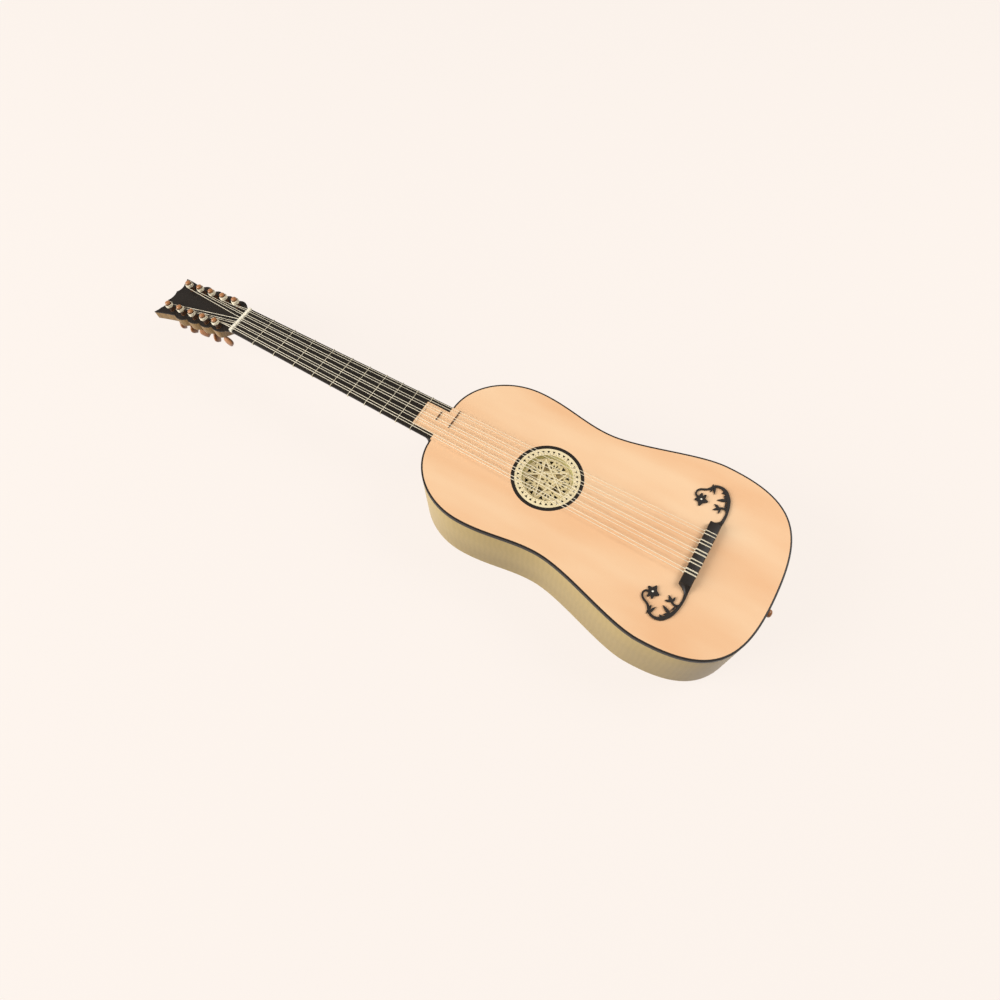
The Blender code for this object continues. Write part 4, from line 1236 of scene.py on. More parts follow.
@dataclass
class Neck:
    """Neck with its heel, fingerboard, nut and frets."""

    inset: float = 0.0010
    depth_join: float = 0.0170
    depth_nut: float = 0.0150
    heel_length: float = 0.0150
    heel_curve: float = 0.66
    heel_pinch: float = 0.50
    heel_clearance: float = 0.0030
    roundness: float = 1.7
    sides: int = 32
    heel_steps: int = 16
    joint: float = 0.00005
    board_round: float = 0.0003
    nut_rise: float = 0.0027
    nut_round: float = 0.0005
    groove_depth: float = 0.0005
    groove_steps: int = 6
    fret_radius: float = 0.00038
    fret_clearance: float = 0.0004
    fret_bend: float = 0.0005
    knot_size: float = 2.2
    short_round: float = 0.00035
    tied_frets: int = 10
    semitones: int = 12

    @property
    def neck_top(self) -> float:
        """Z of the joint between neck and fingerboard."""
        return TOP - PLAN.board_thickness

    def half_width(self, distance: float) -> float:
        """Half the fingerboard's width at a distance from the bridge."""
        share = (distance - PLAN.neck_at) / (PLAN.string_length - PLAN.neck_at)
        return between(PLAN.half_join, PLAN.half_nut, share)

    def section(self, distance: float, margin: float = 0.0) -> list[Vector]:
        """The rounded underside at a distance from the bridge, from treble to bass.

        Args:
            distance: Distance from the string edge of the bridge.
            margin: How far outside the wood the points lie.

        Returns:
            The points.
        """
        travelled = (PLAN.neck_at + self.heel_length - distance) / (self.heel_length * self.heel_curve)
        heel = 1 - math.sqrt(1 - min(max(travelled, 0.0), 1.0) ** 2)
        share = (distance - PLAN.neck_at) / (PLAN.string_length - PLAN.neck_at)
        plain = between(self.depth_join, self.depth_nut, share)
        depth = between(plain, self.neck_top - self.heel_clearance, heel) + margin
        roundness = between(self.roundness, 1.0, heel)
        half = self.half_width(distance) - self.inset + margin
        ring = []
        for step in range(self.sides + 1):
            angle = math.pi * step / self.sides
            pinch = 1 - self.heel_pinch * heel * math.sin(angle) ** 2
            x = half * math.cos(angle) * pinch
            ring.append(Vector((x, along(distance), self.neck_top - depth * math.sin(angle) ** roundness)))
        return ring

    def build(self) -> None:
        """Builds and dresses the neck and what it carries."""
        self.add_neck()
        self.add_fingerboard()
        self.add_nut()
        self.add_tied_frets()
        self.add_short_frets()

    def add_neck(self) -> None:
        """The neck as a skin over its sections, which lie close together along the heel."""
        curved = self.heel_length * self.heel_curve
        start, end = PLAN.neck_at + self.heel_length, PLAN.nut_end
        turns = [math.pi / 2 * step / self.heel_steps for step in range(self.heel_steps + 1)]
        stations = [PLAN.neck_at + self.joint] + [start - curved * math.sin(turn) for turn in turns][::-1]
        stations += [between(start, end, step / 8) for step in range(1, 9)]
        bm = bmesh.new()
        add_skin(bm, [self.section(distance) for distance in stations])
        make_piece("ebony_neck", bm, [EBONY], ["neck"])

    def add_fingerboard(self) -> None:
        """The fingerboard, slotted for the soundboard's tongue."""
        start, end = PLAN.neck_at + self.joint, PLAN.string_length
        slot_half, slot_end = PLAN.tongue_half + self.joint, PLAN.tongue_at + self.joint
        half = placed((
            (slot_half, slot_end), (slot_half, start), (self.half_width(start), start),
            (self.half_width(end), end),
        ))
        bm = bmesh.new()
        add_plate(bm, half + mirrored(half), self.neck_top, TOP)
        soften(bm, self.board_round, 2, at_height(TOP))
        make_piece("ebony_fingerboard", bm, [EBONY], ["fingerboard"])

    def add_nut(self) -> None:
        """The bone nut, with a groove under each string and its upper edges rounded."""
        high = TOP + self.nut_rise
        section = [Vector((-PLAN.half_nut, self.neck_top)), Vector((-PLAN.half_nut, high))]
        for index in range(2 * STRINGS.courses - 1, -1, -1):
            x = STRINGS.places(index)[0]
            reach = STRINGS.diameters[index // 2] / 2 + MM / 10
            for step in range(self.groove_steps + 1):
                turn = math.pi * step / self.groove_steps
                z = high - self.groove_depth * math.sin(turn)
                section.append(Vector((x - reach * math.cos(turn), z)))
        section += [Vector((PLAN.half_nut, high)), Vector((PLAN.half_nut, self.neck_top))]
        bm = bmesh.new()
        add_plate(bm, section, 0.0, PLAN.nut_thickness)
        bmesh.ops.rotate(bm, matrix=Matrix.Rotation(math.pi / 2, 3, "X"), verts=bm.verts)
        end = along(PLAN.nut_end)
        bmesh.ops.translate(bm, vec=(0.0, end, 0.0), verts=bm.verts)
        soften(bm, self.nut_round, 2, lambda edge: all(vert.co.z > high - MM for vert in edge.verts))
        make_piece("bone_nut", bm, [BONE], ["nut"])

    def fret_distance(self, number: int) -> float:
        """Distance of a fret from the bridge, twelve equal semitones to the octave."""
        return PLAN.string_length * 2 ** (-number / self.semitones)

    def add_tied_frets(self) -> None:
        """A gut loop round the neck for each tied fret, knotted at the bass edge."""
        margin = self.fret_clearance + self.fret_radius
        low, level = self.neck_top, TOP + margin
        for number in range(1, self.tied_frets + 1):
            distance = self.fret_distance(number)
            y = along(distance)
            edge = self.half_width(distance) + margin
            flat = 1 - self.fret_bend / edge
            corners = ((-1, low), (-1, TOP), (-flat, level), (flat, level), (1, TOP), (1, low))
            loop = self.section(distance, margin)[1:-1]
            loop += [Vector((edge * share, y, height)) for share, height in corners]
            knot = self.knot(Vector((-edge - self.fret_radius, y, TOP - MM)))
            lines = [(loop, True), (knot, False)]
            nodes = [f"tied_fret_{number}"]
            make_cord(f"gut_fret_{number}", lines, self.fret_radius, nodes, f"fret_{number}")

    def knot(self, centre: Vector) -> list[Vector]:
        """A small overhand knot, a trefoil with two cut ends.

        Args:
            centre: Middle of the knot.

        Returns:
            Its points.
        """
        size = self.knot_size * self.fret_radius
        turns = [math.tau * step / 24 for step in range(25)]
        points = [
            Vector((
                -0.45 * math.sin(3 * t),
                (math.sin(t) + 1.1 * math.sin(2 * t)) / 2,
                (math.cos(t) - 1.1 * math.cos(2 * t)) / 2,
            )) * size
            for t in turns
        ]
        first = points[0] + Vector((-0.3, 2.6, -0.6)) * size / 2
        last = points[-1] + Vector((-0.9, -0.9, -2.4)) * size / 2
        return [centre + point for point in (first, *points, last)]

    def add_short_frets(self) -> None:
        """Two short wooden frets on the soundboard."""
        for number in (self.tied_frets + 1, self.tied_frets + 2):
            low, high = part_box(f"body_fret_{number}")
            low.z = TOP
            bm = bmesh.new()
            bmesh.ops.create_cube(bm, size=1.0)
            bmesh.ops.scale(bm, vec=high - low, verts=bm.verts)
            bmesh.ops.translate(bm, vec=(low + high) / 2, verts=bm.verts)
            soften(bm, self.short_round, 2)
            wood = DARK_PLUM_AND_SHAFT_SHADE.running(Grain.ALONG_X)
            make_piece(f"short_fret_{number}", bm, [wood], [f"body_fret_{number}"])


# Strings


@dataclass(frozen=True)
class Strings:
    """Ten gut strings in five courses, tied at the bridge and wound on the pegs.

    The pitches, strand_out and coil_reach are multiples of a string's radius. Each bend of a strand
    over the bridge says how far it lies in from the bridge's edge and how far below the top.
    """

    courses: int = 5
    spacing_nut: float = 0.0082
    spacing_bridge: float = 0.0134
    pair_nut: float = 0.0028
    pair_bridge: float = 0.0044
    diameters: tuple[float, ...] = (0.00055, 0.00065, 0.0008, 0.0007, 0.00085)
    nut_seat: float = 0.0020
    leave_height: float = 0.0050
    winding_inner: float = 0.0037
    winding_outer: float = 0.0052
    winding_start: float = 0.0058
    winding_end: float = 0.0110
    turn_steps: int = 20
    inside: float = 0.002
    pitch: float = 2.04
    layer_pitch: float = 1.8
    strand_out: float = 1.05
    coil_reach: float = 2.05
    coil_steps: int = 12
    coil_points: int = 15
    rear_bends: Pairs = ((0.0, 0.0024), (0.0005, 0.0007), (0.0013, 0.0))
    front_bends: Pairs = ((0.001, 0.0), (0.0003, 0.0003), (0.0, 0.001))

    def places(self, index: int) -> Pair:
        """X of a string at the nut and at the bridge.

        Args:
            index: The string, counted from the treble side.

        Returns:
            The two places.
        """
        course, member = divmod(index, 2)
        out = (self.courses - 1) / 2 - course
        half = 0.5 - member
        nut = out * self.spacing_nut + half * self.pair_nut
        return nut, out * self.spacing_bridge + half * self.pair_bridge

    def build(self) -> None:
        """Builds and dresses every string."""
        for index in range(2 * self.courses):
            radius = self.diameters[index // 2] / 2
            lines = [(self.route(index, radius), False)]
            lines += [(self.tie(index, radius, hand), False) for hand in (1, -1)]
            make_cord(f"gut_string_{index + 1}", lines, radius, [f"string_{index + 1}"])

    def route(self, index: int, radius: float) -> list[Vector]:
        """The string from inside the bridge over the nut and round its peg.

        Args:
            index: The string, counted from the treble side.
            radius: Radius of the string.

        Returns:
            Its points.
        """
        nut_x, bridge_x = self.places(index)
        leave = TOP + self.leave_height
        nut_z = TOP + self.nut_seat + PLAN.seam + radius
        line = [
            Vector((bridge_x, along(-self.inside), leave)),
            Vector((bridge_x, along(0.0), leave)),
            Vector((nut_x, along(PLAN.string_length), nut_z)),
            Vector((nut_x, along(PLAN.nut_end), nut_z)),
        ]
        treble = index < self.courses
        number = index if treble else 2 * self.courses - 1 - index
        start = HEAD.matrix().inverted() @ line[-1]
        turns = self.winding(start, 1 if treble else -1, number, radius)
        return line + [HEAD.matrix() @ point for point in turns]

    def winding(self, start: Vector, side: int, number: int, radius: float) -> list[Vector]:
        """Close turns round a peg, in layers that run up and down it.

        Args:
            start: Where the string leaves the nut, in the head's frame.
            side: 1 on the treble side and -1 on the bass side.
            number: The peg, counted from the nut.
            radius: Radius of the string.

        Returns:
            The points, in the head's frame.
        """
        centre = HEAD.peg_place(number)
        centre.x *= side
        pitch = self.pitch * radius
        reach = self.winding_inner + radius
        back = Vector((start.x, start.y)) - centre
        angle = math.atan2(back.y, back.x) - side * math.acos(reach / back.length)
        height, climb = self.winding_start + radius, 1.0
        low, high = height + pitch, self.winding_end - radius
        points = []
        while reach + radius <= self.winding_outer + radius / 2:
            x, y = centre.x + reach * math.cos(angle), centre.y + reach * math.sin(angle)
            points.append(Vector((x, y, height)))
            angle -= side * math.tau / self.turn_steps
            height += climb * pitch / self.turn_steps
            if (climb > 0 and height > high) or (climb < 0 and height < low):
                climb = -climb
                reach += self.layer_pitch * radius
                high -= pitch / 2
        return points

    def tie(self, index: int, radius: float, hand: int) -> list[Vector]:
        """One of the two strands of a string's end over the bridge. The first is wound round the string.

        Args:
            index: The string, counted from the treble side.
            radius: Radius of the string.
            hand: 1 for the strand on the treble side and -1 for the other.

        Returns:
            Its points.
        """
        x = self.places(index)[1]
        beside = x + hand * self.strand_out * radius
        over = TOP + PLAN.bridge_height + PLAN.seam + radius
        front, rear = along(radius), along(-PLAN.bridge_width - radius)
        leave = TOP + self.leave_height
        line = [Vector((x, rear + MM, leave - MM / 2)), Vector((beside, rear, leave))]
        line += [Vector((beside, rear + inward, over - fall)) for inward, fall in self.rear_bends]
        line += [Vector((beside, front - inward, over - fall)) for inward, fall in self.front_bends]
        line.append(Vector((x + hand * radius, front, leave + 2 * radius)))
        if hand < 0:
            return line
        turn_radius = self.coil_reach * radius
        for step in range(self.coil_points):
            angle = math.pi / 2 + math.tau * step / self.coil_steps
            line.append(Vector((
                x + turn_radius * math.cos(angle), front + radius + step * radius / 6,
                leave + turn_radius * math.sin(angle),
            )))
        return line


STRINGS = Strings()


# Head and pegs


@dataclass(frozen=True)
class Head:
    """The scalloped head: a lobe beside each peg, a horn at each far corner and a crest of lobes."""

    tilt: float = 12.0
    joint: float = 0.6643
    drop: float = 0.0025
    length: float = 0.1420
    wood_neck: float = 0.0125
    wood_tip: float = 0.0105
    veneer: float = 0.0015
    start: float = 0.0060
    lobe_start: float = 0.0080
    lobe_depth_treble: float = 0.0066
    lobe_depth_bass: float = 0.0042
    lobe_roundness: float = 0.7
    lobe_steps: int = 14
    notch_neck: float = 0.0228
    notch_tip: float = 0.0280
    horn: Pair = (0.0346, 0.1420)
    horn_bend_treble: Pair = (0.0338, 0.1230)
    horn_bend_bass: Pair = (0.0305, 0.1220)
    valley: Pair = (0.0240, 0.1375)
    notch: Pair = (0.0090, 0.1390)
    crest_rise: float = 0.0028
    root_length: float = 0.020
    root_taper: float = 0.5
    pegs: int = 5
    first_peg: float = 0.0228
    peg_spacing: float = 0.0235
    row_half: Pair = (0.0205, 0.0210)
    hole_radius: float = 0.0042
    hole_steps: int = 24
    hole_margin: float = 1.5
    wood_round: float = 0.0008
    veneer_round: float = 0.0003

    def matrix(self) -> Matrix:
        """The head's own frame: Y along the head, Z out of its front face."""
        place = Matrix.Translation((0.0, along(self.joint), TOP - self.drop))
        return place @ Matrix.Rotation(math.radians(-self.tilt), 4, "X")

    def peg_place(self, number: int) -> Vector:
        """Half the distance between the rows, and distance along the head, of a peg from the nut."""
        half = between(*self.row_half, number / (self.pegs - 1))
        return Vector((half, self.first_peg + number * self.peg_spacing))

    def peg_places(self) -> list[Vector]:
        """The places of all the pegs, pair by pair from the nut."""
        places = [self.peg_place(number) for number in range(self.pegs)]
        return [Vector((side * place.x, place.y)) for place in places for side in (1, -1)]

    def wood(self, v: float) -> float:
        """Thickness of the wood at a distance along the head."""
        return between(self.wood_neck, self.wood_tip, v / self.length)

    def scallop(self, start: Vector, end: Vector, rise: float) -> Outline:
        """A rounded lobe between two notches.

        Args:
            start: The first notch.
            end: The second notch.
            rise: How far the lobe bulges to the right of the way between them.

        Returns:
            Its points, without the second notch.
        """
        way = (end - start).normalized()
        side = Vector((way.y, -way.x))
        points = [start]
        for step in range(1, self.lobe_steps):
            share = step / self.lobe_steps
            bulge = rise * math.sin(math.pi * share) ** self.lobe_roundness
            points.append(between(start, end, share) + side * bulge)
        return points

    def side(self, lobe_depth: float, horn_bend: Pair) -> Outline:
        """Half the head's outline, from the neck to the notch beside its middle.

        Args:
            lobe_depth: How far its lobes stand out.
            horn_bend: Where its side bends out to the horn.

        Returns:
            The points of the treble half.
        """
        notches = [self.lobe_start]
        notches += [self.peg_place(number).y + self.peg_spacing / 2 for number in range(self.pegs - 1)]
        span = notches[-1] - notches[0]
        corners = [
            Vector((between(self.notch_neck, self.notch_tip, (v - notches[0]) / span), v)) for v in notches
        ]
        half = [Vector((PLAN.half_nut, -self.start)), Vector((PLAN.half_nut, 0.0))]
        for start, end in zip(corners, corners[1:]):
            half += self.scallop(start, end, lobe_depth)
        places = (self.horn, horn_bend, self.valley, self.notch)
        horn, bend, valley, notch = (Vector(place) for place in places)
        for step in range(self.lobe_steps):
            share = step / self.lobe_steps
            half.append(between(between(corners[-1], bend, share), between(bend, horn, share), share))
        half += [horn, between(horn, valley, 0.5) - Vector((0.0, self.crest_rise / 4))]
        return half + self.scallop(valley, notch, -self.crest_rise) + [notch]

    def outline(self) -> Outline:
        """Works out the head's outline, whose lobes stand out further on the treble side.

        Returns:
            The outline, from the treble end of the nut round to its bass end.
        """
        treble = self.side(self.lobe_depth_treble, self.horn_bend_treble)
        bass = mirrored(self.side(self.lobe_depth_bass, self.horn_bend_bass))
        return treble[:-1] + self.scallop(treble[-1], bass[0], -self.crest_rise) + bass

    def build(self) -> None:
        """Builds and dresses the head and its veneer."""
        holes = [circle(self.hole_radius, self.hole_steps, place) for place in self.peg_places()]
        self.add_wood(holes)
        self.add_veneer(holes)

    def add_wood(self, holes: list[Outline]) -> None:
        """The wood behind the veneer, thinner towards its end and narrower at its root.

        Args:
            holes: Outlines of the peg holes.
        """
        bm = bmesh.new()
        face = -self.veneer
        add_plate(bm, self.outline(), face - self.wood_neck, face, holes)
        for vert in bm.verts:
            if vert.co.z < face - self.wood_tip / 2:
                vert.co.z = face - self.wood(vert.co.y)
                grown = min(max(vert.co.y / self.root_length, 0.0), 1.0)
                vert.co.x *= between(self.root_taper, 1.0, grown)
        self.cut_and_place(bm)
        soften(
            bm, self.wood_round, 3,
            lambda edge: not self.near_face(edge, self.veneer) and not self.round_hole(edge),
        )
        make_piece("walnut_head", bm, [HEAD_WALNUT], ["peghead"])

    def add_veneer(self, holes: list[Outline]) -> None:
        """The ebony veneer on the front of the head.

        Args:
            holes: Outlines of the peg holes.
        """
        bm = bmesh.new()
        add_plate(bm, self.outline(), -self.veneer, 0.0, holes)
        self.cut_and_place(bm)
        soften(bm, self.veneer_round, 2, lambda edge: self.near_face(edge, 0.0))
        make_piece("ebony_head_veneer", bm, [EBONY], ["peghead_veneer"])

    def cut_and_place(self, bm: BMesh) -> None:
        """Cuts the head square to the neck at the joint, closes the cut and puts it in place.

        Args:
            bm: Mesh of the wood or of the veneer, as drawn flat.
        """
        tilt = math.radians(self.tilt)
        cut = bmesh.ops.bisect_plane(
            bm, geom=bm.verts[:] + bm.edges[:] + bm.faces[:], plane_co=(0, 0, 0),
            plane_no=(0, math.cos(tilt), math.sin(tilt)), clear_inner=True,
        )
        edges = [item for item in cut["geom_cut"] if isinstance(item, BMEdge)]
        bmesh.ops.contextual_create(bm, geom=edges)
        bmesh.ops.transform(bm, matrix=self.matrix(), verts=bm.verts)

    def near_face(self, edge: BMEdge, depth: float) -> bool:
        """Whether an edge lies in the plane at this depth below the head's front."""
        away = self.matrix().inverted()
        return all(abs((away @ vert.co).z + depth) < MM / 100 for vert in edge.verts)

    def round_hole(self, edge: BMEdge) -> bool:
        """Tells the edges of the peg holes from the others.

        Args:
            edge: The edge.

        Returns:
            Whether both of its ends lie close to the same hole.
        """
        away = self.matrix().inverted()
        ends = [(away @ vert.co).xy for vert in edge.verts]
        near = self.hole_margin * self.hole_radius
        return any(all((end - place).length < near for end in ends) for place in self.peg_places())


HEAD = Head()


@dataclass
class Pegs:
    """Ten turned pegs with flat knobs behind the head."""

    tip_height: float = 0.0145
    tip_length: float = 0.0030
    tip_radius: float = 0.0036
    winding_radius: float = 0.0034
    winding_base: float = 0.0025
    front_radius: float = 0.0036
    back_radius: float = 0.0041
    collar_gap: float = 0.0005
    collar_radius: float = 0.0054
    collar_length: float = 0.0018
    neck_radius: float = 0.0028
    neck_length: float = 0.0040
    knob_length: float = 0.0180
    knob_half_width: float = 0.0082
    knob_half_thickness: float = 0.0036
    knob_steps: int = 22
    knob_rounding: Pair = (0.10, 0.985)
    dome: Pairs = (
        (0.0, 0.12), (0.0001, 0.45), (0.0004, 0.78), (0.0009, 0.96), (0.0015, 1.0),
    )
    fillet: Pairs = ((0.0003, 1.35), (0.0012, 1.05), (0.0024, 1.0))
    tip_edge: float = 0.0004
    tip_ease: float = 0.97
    collar_edge: float = 0.0003
    collar_ease: float = 0.93
    sides: int = 28
    turns_treble: tuple[int, ...] = (25, 70, -20, 50, 5)
    turns_bass: tuple[int, ...] = (90, 30, 120, 20, 38)

    def rings(self, number: int) -> list[Triple]:
        """Sections of a peg from its tip to the end of its knob, as height and two radii.

        Args:
            number: The peg, counted from the nut.

        Returns:
            The sections.
        """
        grip = HEAD.veneer + HEAD.wood(HEAD.peg_place(number).y)
        tip, radius = self.tip_height, self.tip_radius
        collar = -grip - self.collar_gap
        neck = collar - self.collar_length
        shoulder = tip - self.tip_length
        eased = self.collar_radius * self.collar_ease
        radii = [(tip - fall, radius * share) for fall, share in self.dome]
        radii += [
            (shoulder + self.tip_edge, radius), (shoulder, radius * self.tip_ease),
            (shoulder, self.winding_radius), (self.winding_base, self.winding_radius),
            (0.0, self.front_radius), (collar, self.back_radius), (collar, eased),
            (collar - self.collar_edge, self.collar_radius), (neck + self.collar_edge, self.collar_radius),
            (neck, eased),
        ]
        radii += [(neck - fall, self.neck_radius * share) for fall, share in self.fillet]
        parts = [(height, wide, wide) for height, wide in radii]
        knob = neck - self.neck_length
        for step in range(self.knob_steps):
            share = step / (self.knob_steps - 1)
            bulge = math.sin(math.pi * between(*self.knob_rounding, share))
            middle = min(1.0, 2 * share)
            thick = between(self.neck_radius, self.knob_half_thickness, middle) * math.sqrt(bulge)
            wide = max(self.knob_half_width * bulge, thick)
            parts.append((knob - self.knob_length * share, wide, thick))
        return parts

    def build(self) -> None:
        """Builds and dresses the pegs, each on its own body."""
        for side, row, turns in ((1, "treble", self.turns_treble), (-1, "bass", self.turns_bass)):
            for number, turned in enumerate(turns):
                place = HEAD.peg_place(number)
                bm = bmesh.new()
                rings = [
                    [Vector((point.x * wide, point.y * thick, height)) for point in circle(1.0, self.sides)]
                    for height, wide, thick in self.rings(number)
                ]
                add_skin(bm, rings)
                # The shaft from the head to the tip's shoulder, under the coil of string, gets the dark plum
                # as painted shade
                shoulder = self.tip_height - self.tip_length
                for face in bm.faces:
                    face.material_index = int(MM < face.calc_center_median().z < shoulder)
                to_head = Matrix.Translation((side * place.x, place.y, 0.0))
                matrix = HEAD.matrix() @ to_head @ Matrix.Rotation(math.radians(turned), 4, "Z")
                bmesh.ops.transform(bm, matrix=matrix, verts=bm.verts)
                name = f"{row}_{number + 1}"
                woods = [PLUM.running(Grain.ALONG_Z), DARK_PLUM_AND_SHAFT_SHADE.running(Grain.ALONG_Z)]
                make_piece(f"plum_peg_{name}", bm, woods, [f"peg_{name}"], f"{row}_peg_{number + 1}")


# Bridge and moustaches


@dataclass
class Bridge:
    """The tie bridge with a moustache of vines at each end."""

    half_length: float = 0.0427
    foot: float = 0.00002
    chamfer: float = 0.0010
    block_round: float = 0.0003
    rear_height: float = 0.0055
    plate: float = 0.0016
    layer: float = 0.00003
    vine_round: float = 0.00025
    spine: tuple[Triple, ...] = (
        (0.0490, -0.0123, 0.0042), (0.0543, -0.0129, 0.0034), (0.0608, -0.0130, 0.0030),
        (0.0673, -0.0122, 0.0032), (0.0738, -0.0107, 0.0037), (0.0803, -0.0082, 0.0043),
        (0.0858, -0.0045, 0.0045), (0.0896, -0.0008, 0.0042), (0.0916, 0.0035, 0.0033),
        (0.0920, 0.0078, 0.0027), (0.0908, 0.0118, 0.0026), (0.0886, 0.0142, 0.0028),
        (0.0848, 0.0167, 0.0028), (0.0815, 0.0197, 0.0023), (0.0796, 0.0234, 0.0021),
        (0.0778, 0.0266, 0.0021), (0.0749, 0.0288, 0.0021), (0.0715, 0.0293, 0.0020),
        (0.0686, 0.0278, 0.0020), (0.0668, 0.0240, 0.0020),
    )
    stem: Pairs = (
        (0.0656, -0.0122), (0.0677, -0.0088), (0.0678, -0.0056), (0.0658, -0.0028), (0.0640, -0.0006),
    )
    stem_widths: tuple[float, ...] = (0.0018, 0.0018, 0.0018, 0.0026, 0.0030)
    leaves: tuple[tuple[Pair, Pair, float, float], ...] = (
        ((0.0653, -0.0024), (0.0680, 0.0046), 0.0027, -0.0005),
        ((0.0654, -0.0022), (0.0606, 0.0034), 0.0030, 0.0),
        ((0.0662, -0.0030), (0.0589, -0.0039), 0.0026, 0.0004),
        ((0.0668, -0.0089), (0.0772, -0.0056), 0.0018, -0.0004),
        ((0.0803, -0.0078), (0.0746, 0.0040), 0.0038, 0.0),
        ((0.0800, -0.0072), (0.0840, -0.0004), 0.0030, 0.0),
        ((0.0897, -0.0044), (0.0860, 0.0028), 0.0044, 0.0),
        ((0.0806, 0.0148), (0.0922, 0.0158), 0.0030, 0.0),
        ((0.0908, 0.0132), (0.0800, 0.0096), 0.0029, -0.0004),
    )
    root_reach: float = 0.0125
    root_fall: float = 2.2
    root_rear: float = 0.0143
    root_front: float = 0.0114
    root_ridge: float = 0.35
    root_shoulders: Pair = (0.72, 0.8)
    root_steps: int = 10
    petal_shape: Pairs = (
        (-1.0, 0.88), (-0.6, 0.97), (0.0, 1.0), (0.6, 0.97), (1.0, 0.88),
    )
    petals: Pairs = (
        (20, 0.0084), (70, 0.0064), (117, 0.0078), (187, 0.0086), (273, 0.0082), (340, 0.0084),
    )
    petal_notch: float = 0.0050
    petal_turn: float = 10.0
    bloom: Pair = (0.0660, 0.0204)
    dot_radius: float = 0.0011
    dot_steps: int = 16
    leaf_steps: int = 8
    leaf_fullness: float = 0.8
    leaf_blunt: Pair = (0.0002, 0.00005)

    def build(self) -> None:
        """Builds and dresses the bridge and both moustaches."""
        self.add_block()
        for side in (1, -1):
            self.add_moustache(side)

    def add_block(self) -> None:
        """The tie block: upright towards the rose, sloping down behind."""
        low, top = TOP + self.foot, TOP + PLAN.seam + PLAN.bridge_height
        front, rear = along(0.0), along(-PLAN.bridge_width)
        section = [
            (front, low), (front, top - self.chamfer), (front - self.chamfer, top),
            (rear + self.chamfer, top), (rear, low + self.rear_height), (rear, low),
        ]
        bm = bmesh.new()
        add_skin(bm, [[Vector((x, y, z)) for y, z in section] for x in (-self.half_length, self.half_length)])
        soften(bm, self.block_round, 2)
        make_piece("ebony_bridge", bm, [EBONY.running(Grain.ALONG_X)], ["bridge"])

    def ribbon(self, path: list[Vector], widths: Sequence[float]) -> Outline:
        """The outline of a strip along a path.

        Args:
            path: Points along its middle.
            widths: Its width at each of them.

        Returns:
            Its outline.
        """
        left, right = [], []
        for index, point in enumerate(path):
            way = (path[min(index + 1, len(path) - 1)] - path[max(index - 1, 0)]).normalized()
            side = Vector((-way.y, way.x)) * widths[index] / 2
            left.append(point + side)
            right.append(point - side)
        return left + right[::-1]

    def leaf(self, root: Pair, tip: Pair, width: float, bend: float) -> Outline:
        """A pointed leaf.

        Args:
            root: Where it leaves the vine.
            tip: Its point.
            width: Its greatest width.
            bend: How far its middle swings to the left of the way to its point.

        Returns:
            Its outline.
        """
        steps = self.leaf_steps
        start, end = Vector(root), Vector(tip)
        way = end - start
        side = Vector((-way.y, way.x)).normalized()
        path, widths = [], []
        least, least_at_tip = self.leaf_blunt
        for step in range(steps + 1):
            share = step / steps
            path.append(between(start, end, share) + side * bend * math.sin(math.pi * share))
            swell = width * math.sin(math.pi * share**self.leaf_fullness)
            widths.append(max(swell, least if step < steps else least_at_tip))
        return self.ribbon(path, widths)

    def flower(self) -> Outline:
        """Works out the flower, blunt petals of uneven reach with a notch midway between each two.

        Returns:
            Its outline.
        """
        points = []
        for index, (turn, reach) in enumerate(self.petals):
            for share, tighter in self.petal_shape:
                points.append(Vector(self.bloom) + polar(reach * tighter, turn + share * self.petal_turn))
            onward = (self.petals[(index + 1) % len(self.petals)][0] - turn) % 360
            points.append(Vector(self.bloom) + polar(self.petal_notch, turn + onward / 2))
        return points

    def vine_shapes(self) -> list[Outline]:
        """Works out the treble moustache, measured from the bridge's middle and its string edge.

        Returns:
            Outlines of its vine, its flower, its stem and its leaves.
        """
        path = flowing([Vector((x, y)) for x, y, _ in self.spine], 5)
        branch = flowing([Vector(point) for point in self.stem], 4)
        vine = self.ribbon(path, spread([width for _, _, width in self.spine], len(path)))
        stem = self.ribbon(branch, spread(self.stem_widths, len(branch)))
        return [vine, self.flower(), stem] + [self.leaf(*leaf) for leaf in self.leaves]

    def root_rings(self) -> list[list[Vector]]:
        """Works out the wood that sweeps from the end of the block down to the vine.

        Returns:
            Its sections, from the block outwards.
        """
        rings = []
        low = TOP + self.foot
        front_share, rear_share = self.root_shoulders
        for step in range(self.root_steps + 1):
            share = step / self.root_steps
            fall = (1 - share) ** self.root_fall
            x = self.half_length - self.chamfer / 4 + self.root_reach * share
            height = between(self.plate + PLAN.seam, PLAN.bridge_height - self.chamfer / 2, fall)
            rear = between(-self.root_rear, -PLAN.bridge_width + MM / 10, fall)
            front = between(-self.root_front, -MM / 10, fall)
            ridge = between(front, rear, self.root_ridge)
            section = (
                (front, low), (front, TOP + height * front_share), (ridge, TOP + height),
                (rear, TOP + height * rear_share), (rear, low),
            )
            rings.append([Vector((x, along(y), z)) for y, z in section])
        return rings

